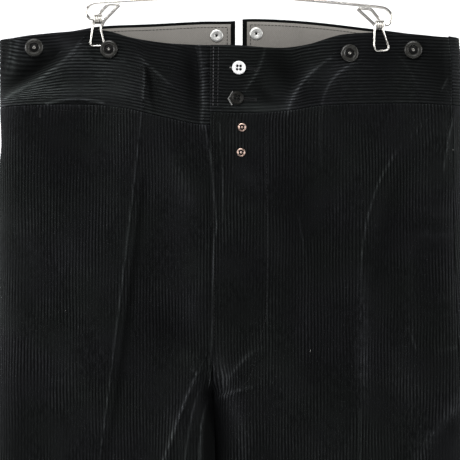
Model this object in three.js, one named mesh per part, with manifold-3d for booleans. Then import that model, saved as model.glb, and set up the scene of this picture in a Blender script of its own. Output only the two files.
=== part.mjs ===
// Corduroy work trousers with a deep waistband, hung by two wire clips from a hanger.
// Millimetres, +Z up. The front faces -Y. The origin is the inside top of the hanger's hook, where a rail bears.
// "left" and "right" in the tables are as the wearer names them, so the wearer's right is at -X.
import * as THREE from "three";
import { mergeVertices } from "three/addons/utils/BufferGeometryUtils.js";
import Module from "manifold-3d";

const wasm = await Module();
wasm.setup();

// ---- driving sizes ----------------------------------------------------------------------------
const CLOTH = 1.8; // one layer of corduroy
const BAND = 3.0; // the waistband, corduroy doubled
const LINING = 1.0; // cotton facing inside the back waistband
const GAP = 0.34; // air between pieces that are sewn together
const WAIST_GAP = 0.64; // and between the waistband and the panels, whose meshes meet in different columns
const SEAM_Z = -195; // height of the waistband's lower seam at the sides
const CROTCH_Z = -488;
const HEM_Z = -1215;
const CLIP_X = { right: -141.5, left: 142 }; // where the clips pinch the waistband
const PINCH_HALF_WIDTH = 46; // how far each pinch spreads along the waistband
const PINCH_FADE = 190; // how far down it is felt
const PINCH_TOP_Z = -125;
const PINCH_DEPTH = { front: 5.0, back: 5.6 };
const EDGE_ROUND = 28; // x extent of the rounding at the outer sides
const INSEAM_ROUND = 26; // and at the inner legs
const CROTCH_RISE = 58; // height over which the crotch rounds under
const LEG_STAGGER = 12; // the wearer's right leg hangs this far forward of the left at the inseam
const LEG_STAGGER_RUN = 80; // height over which it does so, below the crotch
const FLY_LIFT = { panel: 3.2, band: BAND + 0.6 }; // the top fly side lies on the under one
const FLY_WIDTH = 50; // overlap of the two fronts at the fly
const FLY_EDGE = 1.6; // the top edge covers the seam beneath by this much
const FLY_LAND = 14; // the top side clears the under one's edge by this much
const FLY_FADE = 28; // and then comes back to the level over this width
const UNDERLAP_END_Z = -444;

// Outline of the two legs and depth of the tube, seen from the front. The halves join above the crotch; below
// it the legs lie apart either side of the parting, and where apart is negative one lies before the other.
const OUTLINE = [
  { z: -105, rightOut: -237.0, leftOut: 218.5, parting: -27.5, apart: 0, front: 18, back: 15 },
  { z: -140, rightOut: -237.3, leftOut: 221.0, parting: -27.5, apart: 0, front: 20, back: 17 },
  { z: -200, rightOut: -236.8, leftOut: 222.0, parting: -27.5, apart: 0, front: 23, back: 20 },
  { z: -300, rightOut: -236.2, leftOut: 223.5, parting: -27.3, apart: 0, front: 25, back: 24 },
  { z: -400, rightOut: -236.8, leftOut: 227.0, parting: -26.8, apart: 0, front: 27, back: 26 },
  { z: -442, rightOut: -239.6, leftOut: 229.0, parting: -26.6, apart: 0, front: 27.5, back: 27 },
  { z: -488, rightOut: -243.5, leftOut: 231.0, parting: -26.5, apart: 0.6, front: 28, back: 28 },
  { z: -513, rightOut: -245.5, leftOut: 232.0, parting: -26.4, apart: 0.3, front: 28, back: 28 },
  { z: -558, rightOut: -248.0, leftOut: 233.0, parting: -26.0, apart: -3.4, front: 28, back: 28 },
  { z: -700, rightOut: -249.0, leftOut: 232.0, parting: -25.0, apart: -3.0, front: 28, back: 28 },
  { z: -900, rightOut: -244.0, leftOut: 223.0, parting: -20.5, apart: 6.0, front: 27, back: 27 },
  { z: -1100, rightOut: -240.0, leftOut: 214.0, parting: -16.5, apart: 14.0, front: 26, back: 26 },
  { z: -1230, rightOut: -239.0, leftOut: 211.0, parting: -15.0, apart: 18.0, front: 25, back: 25 },
];
// Centre back runs from the split in the waistband to the crotch.
const CENTRE_BACK = [
  { z: -105, x: -1.0 },
  { z: -205, x: -1.0 },
  { z: -345, x: -7.0 },
  { z: -435, x: -18.0 },
  { z: -488, x: -26.5 },
];

// Upper edge of the waistband, and its lower seam, by x. It sags between the clips in front and rises behind.
const FRONT_TOP = [
  { x: -245, z: -133.0 },
  { x: -237.5, z: -131.0 },
  { x: -224.5, z: -126.2 },
  { x: -189.5, z: -122.0 },
  { x: -149.5, z: -119.0 },
  { x: -129.5, z: -122.0 },
  { x: -109.5, z: -128.0 },
  { x: -89.5, z: -132.0 },
  { x: -69.5, z: -134.5 },
  { x: -39.5, z: -136.0 },
  { x: 0.5, z: -136.2 },
  { x: 22.5, z: -138.0 },
  { x: 45.5, z: -138.5 },
  { x: 70.5, z: -135.0 },
  { x: 90.5, z: -129.0 },
  { x: 105.5, z: -125.5 },
  { x: 145.5, z: -123.0 },
  { x: 160.5, z: -124.0 },
  { x: 200.5, z: -128.0 },
  { x: 228, z: -129.0 },
];
const BACK_TOP = [
  { x: -245, z: -133.0 },
  { x: -237.5, z: -131.0 },
  { x: -224.5, z: -126.2 },
  { x: -189.5, z: -121.8 },
  { x: -139.5, z: -117.0 },
  { x: -89.5, z: -114.5 },
  { x: -39.5, z: -112.0 },
  { x: -6.5, z: -112.0 },
  { x: 7.5, z: -108.5 },
  { x: 50.5, z: -110.5 },
  { x: 90.5, z: -114.5 },
  { x: 135.5, z: -120.5 },
  { x: 180.5, z: -125.5 },
  { x: 228, z: -129.0 },
];
const FRONT_SEAM = {
  right: [
    { x: -245, z: -197.5 },
    { x: -219.5, z: -195.2 },
    { x: -139.5, z: -195.0 },
    { x: -109.5, z: -198.0 },
    { x: -69.5, z: -208.0 },
    { x: -39.5, z: -215.0 },
    { x: 30, z: -215.0 },
  ],
  left: [
    { x: -30, z: -205.4 },
    { x: 10, z: -206.4 },
    { x: 47.5, z: -202.5 },
    { x: 80.5, z: -196.5 },
    { x: 110, z: -194.0 },
    { x: 135.5, z: -192.6 },
    { x: 170.5, z: -192.6 },
    { x: 200.5, z: -195.0 },
    { x: 228, z: -196.6 },
  ],
};
const BACK_SEAM = [
  { x: -245, z: -197.5 },
  { x: -219.5, z: -195.2 },
  { x: -150, z: -194.0 },
  { x: -60, z: -195.0 },
  { x: 0, z: -197.0 },
  { x: 60, z: -196.0 },
  { x: 150, z: -193.6 },
  { x: 200.5, z: -195.0 },
  { x: 228, z: -196.6 },
];
const SEAM_FADE = 130; // below the waistband the rows level out over this height

// Folds: each follows a curve from start by bend to end, seen from the front, and stands out by lift.
// sideA is its width on the side that lies to the left when looking from start to end, sideB the other.
const FOLDS = {
  front: [
    { name: "right pleat", start: [-97, -203], bend: [-108, -330], end: [-142, -600], lift: 6.5, sideA: 9, sideB: 30 },
    { name: "left pleat", start: [166, -231], bend: [104, -310], end: [119, -640], lift: 6, sideA: 11, sideB: 26 },
    { name: "crotch drag", start: [-40, -460], bend: [-56, -498], end: [-88, -590], lift: 5, sideA: 8, sideB: 12 },
    { name: "inner drag", start: [-34, -474], bend: [-47, -502], end: [-57, -585], lift: 3.2, sideA: 6, sideB: 8 },
    { name: "right hip slope", start: [-76, -232], bend: [-62, -264], end: [-42, -310], lift: 2.2, sideA: 16, sideB: 16 },
    { name: "right clip drag", start: [-164, -135], bend: [-188, -168], end: [-240, -190], lift: 5.5, sideA: 9, sideB: 14 },
    { name: "right clip fall", start: [-98, -146], bend: [-88, -158], end: [-66, -184], lift: 2.6, sideA: 9, sideB: 7 },
    { name: "fly hollow", start: [48, -132], bend: [44, -155], end: [58, -182], lift: -3.5, sideA: 16, sideB: 16 },
    { name: "left clip drag", start: [100, -146], bend: [62, -168], end: [45, -207], lift: 3.6, sideA: 12, sideB: 9 },
    { name: "left clip fall", start: [116, -150], bend: [76, -172], end: [82, -206], lift: 2.4, sideA: 10, sideB: 8 },
    { name: "left knee break", start: [60, -800], bend: [110, -815], end: [170, -800], lift: 3, sideA: 22, sideB: 26 },
    { name: "right knee break", start: [-190, -830], bend: [-140, -845], end: [-80, -825], lift: 3, sideA: 22, sideB: 26 },
  ],
  back: [
    { name: "seat fold right", start: [-90, -420], bend: [-110, -500], end: [-128, -640], lift: 5.5, sideA: 24, sideB: 14 },
    { name: "seat fold left", start: [60, -425], bend: [88, -500], end: [104, -650], lift: 5.5, sideA: 14, sideB: 24 },
    { name: "seat drag right", start: [-34, -462], bend: [-60, -505], end: [-84, -580], lift: 4, sideA: 12, sideB: 9 },
    { name: "seat drag left", start: [-18, -462], bend: [8, -505], end: [34, -585], lift: 4, sideA: 9, sideB: 12 },
    { name: "left calf break", start: [50, -860], bend: [100, -880], end: [170, -862], lift: 3, sideA: 24, sideB: 24 },
    { name: "right calf break", start: [-200, -880], bend: [-140, -896], end: [-80, -876], lift: 3, sideA: 24, sideB: 24 },
  ],
};

// Each leg panel keeps a column of its mesh on the crest of its main fold. That column's places, with the
// number of columns on its outer side and on its inner side.
const RIDGE = {
  front_right: {
    columns: [5, 4],
    crest: [
      { z: -200, x: -97 },
      { z: -330, x: -107 },
      { z: -450, x: -122 },
      { z: -600, x: -142 },
      { z: HEM_Z, x: -150 },
    ],
  },
  front_left: {
    columns: [3, 7],
    crest: [
      { z: -200, x: 158 },
      { z: -250, x: 146 },
      { z: -330, x: 128 },
      { z: -450, x: 119 },
      { z: -640, x: 119 },
      { z: HEM_Z, x: 110 },
    ],
  },
  back_right: {
    columns: [5, 4],
    crest: [
      { z: -200, x: -104 },
      { z: -500, x: -110 },
      { z: HEM_Z, x: -136 },
    ],
  },
  back_left: {
    columns: [6, 3],
    crest: [
      { z: -200, x: 74 },
      { z: -500, x: 84 },
      { z: HEM_Z, x: 106 },
    ],
  },
};
const INSEAM_COLUMNS = 4; // columns round the inner leg
const PANEL_ROWS = [
  -204, -230, -260, -294, -330, -366, -400, -426, -446, -461, -473, -482, CROTCH_Z, -495, -505, -519, -538, -564, -600,
  -645, -700, -765, -840, -920, -1010, -1115, HEM_Z,
];
const BAND_ROWS = 5;
const BAND_PITCH = 15; // spacing of the columns along the waistband
const EDGE_PITCH = 1.5; // spacing round the tube's edge, in roots of a millimetre

// ---- helpers ----------------------------------------------------------------------------------
const clamp01 = (t) => Math.min(1, Math.max(0, t));
const mix = (a, b, t) => a + (b - a) * t;
const ease = (t) => clamp01(t) ** 2 * (3 - 2 * clamp01(t));
// Height of a unit quarter round, t across it.
const quarterRound = (t) => Math.sqrt(Math.max(0, 1 - (1 - clamp01(t)) ** 2));

// A smooth curve through one column of a table, read at key = at.
function read(table, key, column, at) {
  const rising = table[table.length - 1][key] > table[0][key];
  const rows = rising ? table : [...table].reverse();
  const last = rows.length - 1;
  if (at <= rows[0][key]) return rows[0][column];
  if (at >= rows[last][key]) return rows[last][column];
  const i = rows.findIndex((row) => row[key] > at) - 1;
  const [a, b] = [rows[i], rows[i + 1]];
  const [before, after] = [rows[Math.max(0, i - 1)], rows[Math.min(last, i + 2)]];
  const span = b[key] - a[key];
  const t = (at - a[key]) / span;
  const slopeA = ((b[column] - before[column]) / (b[key] - before[key])) * span;
  const slopeB = ((after[column] - a[column]) / (after[key] - a[key])) * span;
  return (
    (2 * t ** 3 - 3 * t ** 2 + 1) * a[column] +
    (t ** 3 - 2 * t ** 2 + t) * slopeA +
    (-2 * t ** 3 + 3 * t ** 2) * b[column] +
    (t ** 3 - t ** 2) * slopeB
  );
}
const outline = (column, z) => read(OUTLINE, "z", column, z);
const outerEdge = (side, z) => outline(`${side}Out`, z);
const innerEdge = (side, z) => outline("parting", z) + ((side === "right" ? -1 : 1) * outline("apart", z)) / 2;
const outwards = (side) => (side === "right" ? -1 : 1);
const fore = (face) => (face === "front" ? -1 : 1);

// How far one fold lifts the cloth at (x, z).
const FOLD_STEPS = 10;
function foldLift(fold, x, z) {
  const at = (t) => [0, 1].map((k) => (1 - t) ** 2 * fold.start[k] + 2 * t * (1 - t) * fold.bend[k] + t * t * fold.end[k]);
  let best = { distance: Infinity };
  for (let i = 0; i < FOLD_STEPS; i++) {
    const [a, b] = [at(i / FOLD_STEPS), at((i + 1) / FOLD_STEPS)];
    const [dx, dz] = [b[0] - a[0], b[1] - a[1]];
    const t = clamp01(((x - a[0]) * dx + (z - a[1]) * dz) / (dx * dx + dz * dz));
    const [ox, oz] = [x - a[0] - t * dx, z - a[1] - t * dz];
    const distance = Math.hypot(ox, oz);
    if (distance < best.distance) best = { distance, side: dx * oz - dz * ox, along: (i + t) / FOLD_STEPS };
  }
  const width = best.side > 0 ? fold.sideA : fold.sideB;
  const ends = Math.sin(Math.PI * mix(0.12, 0.94, best.along)) ** 0.7;
  return fold.lift * ends * Math.exp(-((best.distance / width) ** 2));
}
const foldsAt = (face, x, z) => FOLDS[face].reduce((sum, fold) => sum + foldLift(fold, x, z), 0);

// ---- the hanging tube of cloth ----------------------------------------------------------------
// Share of the tube's full depth at (x, z): it falls away to nothing round the outer sides and inner legs.
function roundness(side, x, z) {
  const edge = (outwards(side) * (outerEdge(side, z) - x)) / EDGE_ROUND;
  const fromInner = (outwards(side) * (x - innerEdge(side, z))) / INSEAM_ROUND;
  const above = (z - CROTCH_Z) / CROTCH_RISE;
  return quarterRound(edge) * quarterRound(above > 0 ? Math.hypot(fromInner, above) : fromInner);
}

// Depth of the cloth from the middle plane, on the front or the back.
function depthAt(face, side, x, z) {
  const felt = 1 - ease((PINCH_TOP_Z - z) / PINCH_FADE);
  const near = Object.values(CLIP_X).reduce((sum, c) => sum + Math.exp(-(((x - c) / PINCH_HALF_WIDTH) ** 2)), 0);
  return mix(outline(face, z), PINCH_DEPTH[face], Math.min(1, felt * near));
}

// The middle plane steps forward and back at the inner legs, so that one leg hangs before the other.
function middleAt(side, x, z) {
  const below = ease((CROTCH_Z - z) / LEG_STAGGER_RUN);
  const near = Math.exp(-((Math.abs(x - innerEdge(side, z)) / 60) ** 2));
  return outwards(side) * LEG_STAGGER * below * near;
}

// y of the cloth's outer surface. Front and back never come closer than the gap of the inseam.
function surfaceY({ face, side, x, z, lift = () => 0 }, least = GAP / 2) {
  const raised = depthAt(face, side, x, z) + foldsAt(face, x, z) + lift(x, z);
  return middleAt(side, x, z) + fore(face) * Math.max(least, raised * roundness(side, x, z));
}

// Outward normal there. Near an edge of the tube the surface is followed in steps of the root of the distance
// from that edge, which carries the step smoothly round to the other face.
const STEP = 0.02;
function normalAt({ face, side, x, z, lift }) {
  const other = face === "front" ? "back" : "front";
  const fromOuter = Math.abs(outerEdge(side, z) - x);
  const fromInner = Math.abs(x - innerEdge(side, z));
  const nearOuter = fromOuter < fromInner;
  const edge = nearOuter ? outerEdge : innerEdge;
  const way = (nearOuter ? -1 : 1) * outwards(side);
  const point = (across, up) => {
    const height = z + up;
    if (!nearOuter && height > CROTCH_Z) {
      const at = x + way * across;
      return new THREE.Vector3(at, surfaceY({ face, side, x: at, z: height, lift }, 0), height);
    }
    const root = Math.sqrt(nearOuter ? fromOuter : fromInner) + across;
    const at = edge(side, height) + way * root ** 2;
    const shown = root < 0 ? { face: other } : { face, lift };
    return new THREE.Vector3(at, surfaceY({ ...shown, side, x: at, z: height }, 0), height);
  };
  const alongRow = point(STEP, 0).sub(point(-STEP, 0));
  const alongFall = z <= CROTCH_Z ? point(0, 0).sub(point(0, -STEP)) : point(0, STEP).sub(point(0, 0));
  const normal = alongRow.cross(alongFall).normalize();
  return normal.multiplyScalar(-way * fore(face));
}

// A point of the outer surface, pushed out along the normal by off.
function clothPoint(place, off = 0) {
  const point = new THREE.Vector3(place.x, surfaceY(place), place.z);
  return point.addScaledVector(normalAt(place), off);
}

// ---- meshes from grids ------------------------------------------------------------------------
// A closed wall between two grids of points with the same rows and columns.
function wallGeometry(outer, inner) {
  const [rows, columns] = [outer.length, outer[0].length];
  const positions = [...outer, ...inner].flat().flatMap((p) => [p.x, p.y, p.z]);
  const at = (layer, i, j) => (layer * rows + i) * columns + j;
  const index = [];
  const quad = (a, b, c, d) => index.push(a, b, c, a, c, d);
  for (let i = 0; i < rows - 1; i++)
    for (let j = 0; j < columns - 1; j++) {
      quad(at(0, i, j), at(0, i + 1, j), at(0, i + 1, j + 1), at(0, i, j + 1));
      quad(at(1, i, j), at(1, i, j + 1), at(1, i + 1, j + 1), at(1, i + 1, j));
    }
  for (let i = 0; i < rows - 1; i++) {
    quad(at(0, i, 0), at(1, i, 0), at(1, i + 1, 0), at(0, i + 1, 0));
    quad(at(0, i, columns - 1), at(0, i + 1, columns - 1), at(1, i + 1, columns - 1), at(1, i, columns - 1));
  }
  for (let j = 0; j < columns - 1; j++) {
    quad(at(0, 0, j), at(0, 0, j + 1), at(1, 0, j + 1), at(1, 0, j));
    quad(at(0, rows - 1, j), at(1, rows - 1, j), at(1, rows - 1, j + 1), at(0, rows - 1, j + 1));
  }
  const geometry = new THREE.BufferGeometry();
  geometry.setAttribute("position", new THREE.Float32BufferAttribute(positions, 3));
  geometry.setIndex(index);
  return facingOut(geometry);
}

// Turns the faces round if they point inwards.
function facingOut(geometry) {
  const p = geometry.attributes.position;
  const index = geometry.index.array;
  const [a, b, c] = [0, 1, 2].map(() => new THREE.Vector3());
  let volume = 0;
  for (let i = 0; i < index.length; i += 3) {
    [a, b, c].forEach((v, k) => v.fromBufferAttribute(p, index[i + k]));
    volume += a.dot(b.cross(c));
  }
  if (volume < 0) for (let i = 0; i < index.length; i += 3) [index[i + 1], index[i + 2]] = [index[i + 2], index[i + 1]];
  geometry.computeVertexNormals();
  return geometry;
}

// A wall of cloth through rows of places, pushed out by off and made inwards to the given thickness.
function cloth(rows, thickness, off = 0) {
  const outer = rows.map((row) => row.map((place) => clothPoint(place, off)));
  const inner = rows.map((row) => row.map((place) => clothPoint(place, off - thickness)));
  return wallGeometry(outer, inner);
}

// ---- panels -----------------------------------------------------------------------------------
const flyOver = (x, z) => 1 - ease((x - outline("parting", z) - FLY_WIDTH - FLY_LAND) / FLY_FADE);
const TOP_FLY_PANEL = (x, z) => FLY_LIFT.panel * flyOver(x, z) * ease((z - UNDERLAP_END_Z + 44) / 30);
const TOP_FLY_BAND = (x, z) => FLY_LIFT.band * flyOver(x, z);

// The place in a row at a distance across from the tube's outer edge; a negative one lies round the other face.
function placeAcross({ face, side, z, across, lift }) {
  const other = face === "front" ? "back" : "front";
  const x = outerEdge(side, z) - outwards(side) * Math.abs(across);
  return across < 0 ? { face: other, side, x, z } : { face, side, x, z, lift };
}
const widthTo = (side, x, z) => Math.abs(outerEdge(side, z) - x);
const spread = (a, b, count) => Array.from({ length: count + 1 }, (_, i) => mix(a, b, i / count));

// Distances across the rounded edge of the tube, evenly spaced round it.
function edgeDistances(start) {
  const [first, last] = [Math.sign(start) * Math.sqrt(Math.abs(start)), Math.sqrt(EDGE_ROUND)];
  return spread(first, last, Math.ceil((last - first) / EDGE_PITCH)).map((root) => root * Math.abs(root));
}

// The side seam lies just round the back at the wearer's right, and shows in front at the left.
// Start of a piece, measured from the edge of the tube on the piece's own face.
const SIDE_SEAM = { right: { shows: "back", from: 6 }, left: { shows: "front", from: 11 } };
function seamStart(face, side) {
  const { shows, from } = SIDE_SEAM[side];
  return face === shows ? from + GAP / 2 : -(from - GAP / 2);
}

// Stretches a row's distance so that a row of one width still ends where a row of another does.
const stretched = (across, width, wanted) => across + ((wanted - width) * Math.max(0, across)) / width;

// A leg panel from the waistband's seam to the hem.
function legPanel(face, side) {
  const seam = face === "front" ? FRONT_SEAM[side] : BACK_SEAM;
  const onTop = face === "front" && side === "left";
  const lift = onTop ? TOP_FLY_PANEL : undefined;
  const top = PANEL_ROWS[0];
  const endOf = (z) => {
    if (z <= CROTCH_Z) return innerEdge(side, z);
    const centre = face === "back" ? read(CENTRE_BACK, "z", "x", z) : outline("parting", z);
    const covered = onTop ? (FLY_EDGE + GAP / 2) * ease((z - UNDERLAP_END_Z + 12) / 10) : 0;
    return centre + outwards(side) * (GAP / 2 - covered);
  };
  const edge = edgeDistances(seamStart(face, side));
  const { columns, crest } = RIDGE[`${face}_${side}`];
  const rows = PANEL_ROWS.map((z) => {
    const width = widthTo(side, endOf(z), z);
    const ridge = widthTo(side, read(crest, "z", "x", z), z);
    const turned = 1 - ease((z - CROTCH_Z) / 60);
    const distances = [
      ...edge,
      ...spread(EDGE_ROUND, ridge, columns[0]).slice(1),
      ...spread(ridge, width - INSEAM_ROUND, columns[1]).slice(1),
      ...spread(1, 0, INSEAM_COLUMNS).slice(1).map((u) => width - INSEAM_ROUND * mix(u, u * u, turned)),
    ];
    const level = ease(1 - (top - z) / SEAM_FADE);
    return distances.map((across) => {
      const { x } = placeAcross({ face, side, z, across });
      const height = z + (read(seam, "x", "z", x) - WAIST_GAP / 2 - top) * level;
      const wanted = widthTo(side, endOf(height), height);
      return placeAcross({ face, side, z: height, across: stretched(across, width, wanted), lift });
    });
  });
  return cloth(rows, CLOTH);
}

// Distances across from one start to an end along the waistband.
function bandDistances(side, start, endX) {
  const edge = edgeDistances(start);
  const width = widthTo(side, endX, SEAM_Z);
  const count = Math.round((width - EDGE_ROUND) / BAND_PITCH);
  return [...edge, ...spread(EDGE_ROUND, width, count).slice(1)];
}

// Part of the waistband, from its upper edge to its lower seam.
function band({ face, side, distances, endX, top, seam, lift, thickness = BAND, off = 0, above = WAIST_GAP / 2, drop = 0 }) {
  const width = widthTo(side, endX, SEAM_Z);
  const rows = Array.from({ length: BAND_ROWS + 1 }, (_, i) =>
    distances.map((across) => {
      const { x } = placeAcross({ face, side, z: SEAM_Z, across });
      const z = mix(read(top, "x", "z", x) - drop, read(seam, "x", "z", x) + above, i / BAND_ROWS);
      return placeAcross({ face, side, z, across: stretched(across, width, widthTo(side, endX, z)), lift });
    }),
  );
  return cloth(rows, thickness, off);
}

// ---- hardware ---------------------------------------------------------------------------------
const CLEAR = 0.6; // air under a piece that stands on the cloth, whose mesh is made of flats
// A turned piece whose axis is the cloth's normal at its place, standing off its surface by off.
function turned(profile, place, { off = CLEAR, inward = false, segments = 16 } = {}) {
  const geometry = new THREE.LatheGeometry(profile.map(([r, h]) => new THREE.Vector2(r, h)), segments);
  const way = normalAt(place).multiplyScalar(inward ? -1 : 1);
  const turn = new THREE.Quaternion().setFromUnitVectors(new THREE.Vector3(0, 1, 0), way);
  const at = clothPoint(place, inward ? -off : off);
  return closedLathe(geometry.applyQuaternion(turn).translate(at.x, at.y, at.z));
}

// A lathe's surface welded shut, without the triangles that have no area on its axis.
function closedLathe(geometry) {
  geometry.deleteAttribute("normal");
  geometry.deleteAttribute("uv");
  const closed = mergeVertices(geometry, 1e-3);
  const index = closed.index.array;
  const kept = [];
  for (let i = 0; i < index.length; i += 3) {
    const [a, b, c] = [index[i], index[i + 1], index[i + 2]];
    if (a !== b && b !== c && c !== a) kept.push(a, b, c);
  }
  closed.setIndex(kept);
  return facingOut(closed);
}

// Profiles are [radius, height above the cloth], from the axis at the back to the axis at the front.
const BRACE_BUTTON = [
  [0, 0], [3.2, 0], [2.7, 2.9], [8.2, 3.0], [8.9, 3.8], [7.8, 5.0], [4.6, 4.6], [3.5, 3.9], [2.4, 4.6], [0, 4.6],
];
const RIVET_BACK = [[0, 0], [6.4, 0], [6.1, 0.8], [2.4, 1.0], [1.5, 0.5], [0, 0.5]];
const FLY_RIVET = [[0, 0], [4.3, 0], [4.1, 0.8], [2.9, 1.1], [1.9, 0.6], [0, 0.8]];
const SHIRT_BUTTON = [[0, 0], [1.6, 0], [1.5, 1.2], [6.4, 1.3], [7.2, 2.2], [6.7, 3.3], [5.3, 3.2], [4.6, 2.8], [0, 2.7]];

// A round wire along points whose corners are rounded.
function wire(points, radius, { sides = 7, bend = 3, steps = 2 } = {}) {
  const path = roundedPath(points.map((p) => new THREE.Vector3(...p)), bend, steps);
  const rings = [];
  let across = new THREE.Vector3(0, 1, 0);
  path.forEach((p, i) => {
    const before = path[Math.max(0, i - 1)];
    const after = path[Math.min(path.length - 1, i + 1)];
    const tangent = after.clone().sub(before).normalize();
    if (i === 0 && Math.abs(tangent.dot(across)) > 0.9) across = new THREE.Vector3(1, 0, 0);
    across = across.clone().addScaledVector(tangent, -across.dot(tangent)).normalize();
    const other = tangent.clone().cross(across);
    rings.push(
      Array.from({ length: sides }, (_, k) => {
        const turn = (2 * Math.PI * k) / sides;
        return p.clone().addScaledVector(across, radius * Math.cos(turn)).addScaledVector(other, radius * Math.sin(turn));
      }),
    );
  });
  const positions = [...rings.flat(), path[0], path[path.length - 1]].flatMap((p) => [p.x, p.y, p.z]);
  const ends = [rings.length * sides, rings.length * sides + 1];
  const index = [];
  for (let i = 0; i < rings.length - 1; i++)
    for (let k = 0; k < sides; k++) {
      const next = (k + 1) % sides;
      const [a, b] = [i * sides + k, i * sides + next];
      index.push(a, b, b + sides, a, b + sides, a + sides);
    }
  const lastRing = (rings.length - 1) * sides;
  for (let k = 0; k < sides; k++) {
    const next = (k + 1) % sides;
    index.push(ends[0], next, k, ends[1], lastRing + k, lastRing + next);
  }
  const geometry = new THREE.BufferGeometry();
  geometry.setAttribute("position", new THREE.Float32BufferAttribute(positions, 3));
  geometry.setIndex(index);
  return facingOut(geometry);
}

// The same polyline with each corner replaced by a short curve.
function roundedPath(points, bend, steps) {
  return points.flatMap((p, i) => {
    if (i === 0 || i === points.length - 1) return [p];
    const [toBefore, toAfter] = [points[i - 1], points[i + 1]].map((q) => q.clone().sub(p));
    const reach = (way) => p.clone().addScaledVector(way.clone().normalize(), Math.min(bend, way.length() / 2.2));
    const curve = new THREE.QuadraticBezierCurve3(reach(toBefore), p, reach(toAfter));
    return curve.getPoints(steps);
  });
}

// Several closed meshes joined into one.
function join(geometries) {
  const solids = geometries.map((g) => {
    const merged = mergeVertices(new THREE.BufferGeometry().setAttribute("position", g.attributes.position).setIndex(g.index), 1e-4);
    const vertProperties = Float32Array.from(merged.attributes.position.array);
    return new wasm.Manifold(new wasm.Mesh({ numProp: 3, vertProperties, triVerts: Uint32Array.from(merged.index.array) }));
  });
  const mesh = solids.reduce((whole, solid) => whole.add(solid)).getMesh();
  const geometry = new THREE.BufferGeometry();
  geometry.setAttribute("position", new THREE.Float32BufferAttribute(mesh.vertProperties, 3));
  geometry.setIndex([...mesh.triVerts]);
  geometry.computeVertexNormals();
  return geometry;
}

// The hanger: a hook, and a bar whose ends curl down and back through the springs of the two clips.
const HANGER_WIRE = 1.5;
const CLIP_WIRE = 1.0;
const HOOK_INSIDE = 18;
const HOOK_TURN = { from: -0.28, to: 1.12, steps: 16 }; // half turns round the hook
const BAR = [
  [-134.8, -108.5], [-150, -108.5], [-153.5, -104], [-153, -97], [-147, -92], [0, -83],
  [138, -96], [147, -97.5], [152.5, -103], [152.5, -110], [149.5, -114.3], [134.5, -114.3],
];
const BAR_BEND = 3.5;
const SPRING = { outside: 5.2, inside: 2.1, halfLength: 5.2 };
// Each jaw is one wire seen from the front: handle, inner leg, lower edge and outer leg.
const CLIPS = {
  right: {
    x: -141.3,
    springZ: -108.5,
    jaw: [[-141.5, -104], [-131.5, -93.5], [-119.5, -93.5], [-135.6, -110], [-139.1, -117.8], [-135.4, -133], [-136.5, -135.6], [-148.4, -135.6], [-149.1, -132.6], [-146, -110]],
  },
  left: {
    x: 141,
    springZ: -114.3,
    jaw: [[141, -109.8], [132, -98.5], [117.5, -97.5], [135.5, -114], [134.4, -135.7], [136.2, -140.8], [148.4, -140.2], [149.4, -137], [143.4, -120], [144.5, -115.5]],
  },
};

function hangerFrame() {
  const radius = HOOK_INSIDE + HANGER_WIRE;
  const hook = spread(HOOK_TURN.from, HOOK_TURN.to, HOOK_TURN.steps).map((turns) => {
    const angle = turns * Math.PI;
    return [radius * Math.cos(angle), 0, -HOOK_INSIDE + radius * Math.sin(angle)];
  });
  const neck = [[0, 0, -83], [0, 0, -48], [7, 0, -40]];
  const bar = BAR.map(([x, z]) => [x, 0, z]);
  return join([wire([...neck, ...hook], HANGER_WIRE, { bend: 2, steps: 1 }), wire(bar, HANGER_WIRE, { bend: BAR_BEND, steps: 3 })]);
}

// One jaw of a clip, lying on the band below and passing its spring above.
function jaw(side, face) {
  const clip = CLIPS[side];
  const bandTop = read(face === "front" ? FRONT_TOP : BACK_TOP, "x", "z", clip.x);
  const passing = fore(face) * (SPRING.outside + CLIP_WIRE + GAP);
  const depth = (x, z) => {
    const resting = surfaceY({ face, side, x, z: Math.min(z, bandTop) }) + fore(face) * (CLIP_WIRE + CLEAR);
    return Math.abs(resting) < Math.abs(passing) ? passing : resting;
  };
  return wire(clip.jaw.map(([x, z]) => [x, depth(x, z), z]), CLIP_WIRE, { bend: 2.5 });
}

// The coil that presses the two jaws together, as a plain sleeve round the end of the bar.
const SPRING_SIDES = 14;
function spring(side) {
  const { x, springZ } = CLIPS[side];
  const { outside, inside, halfLength } = SPRING;
  const profile = [[inside, -halfLength], [outside, -halfLength], [outside, halfLength], [inside, halfLength], [inside, -halfLength]];
  const sleeve = new THREE.LatheGeometry(profile.map(([r, h]) => new THREE.Vector2(r, h)), SPRING_SIDES);
  return closedLathe(sleeve.rotateZ(Math.PI / 2).translate(x, 0, springZ));
}

// ---- the object -------------------------------------------------------------------------------
const corduroy = new THREE.MeshStandardMaterial({ name: "corduroy", color: 0x191a1c, roughness: 0.95, metalness: 0 });
const twill = new THREE.MeshStandardMaterial({ name: "lining", color: 0x7f7c78, roughness: 0.9, metalness: 0 });
const blackMetal = new THREE.MeshStandardMaterial({ name: "black_metal", color: 0x2a2a28, roughness: 0.3, metalness: 0.7 });
const paleMetal = new THREE.MeshStandardMaterial({ name: "pale_metal", color: 0xd8d8d4, roughness: 0.35, metalness: 0.6 });
const shell = new THREE.MeshStandardMaterial({ name: "white_button", color: 0xe8e8e8, roughness: 0.2, metalness: 0 });
const horn = new THREE.MeshStandardMaterial({ name: "dark_button", color: 0x1c1a18, roughness: 0.2, metalness: 0 });
const copper = new THREE.MeshStandardMaterial({ name: "rivet", color: 0xb9a79b, roughness: 0.35, metalness: 0.9 });
const steel = new THREE.MeshStandardMaterial({ name: "steel", color: 0xd9d6cf, roughness: 0.22, metalness: 1 });

const trousers = new THREE.Group();
function add(name, geometry, material) {
  const mesh = new THREE.Mesh(geometry, material);
  mesh.name = name;
  trousers.add(mesh);
}

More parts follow.
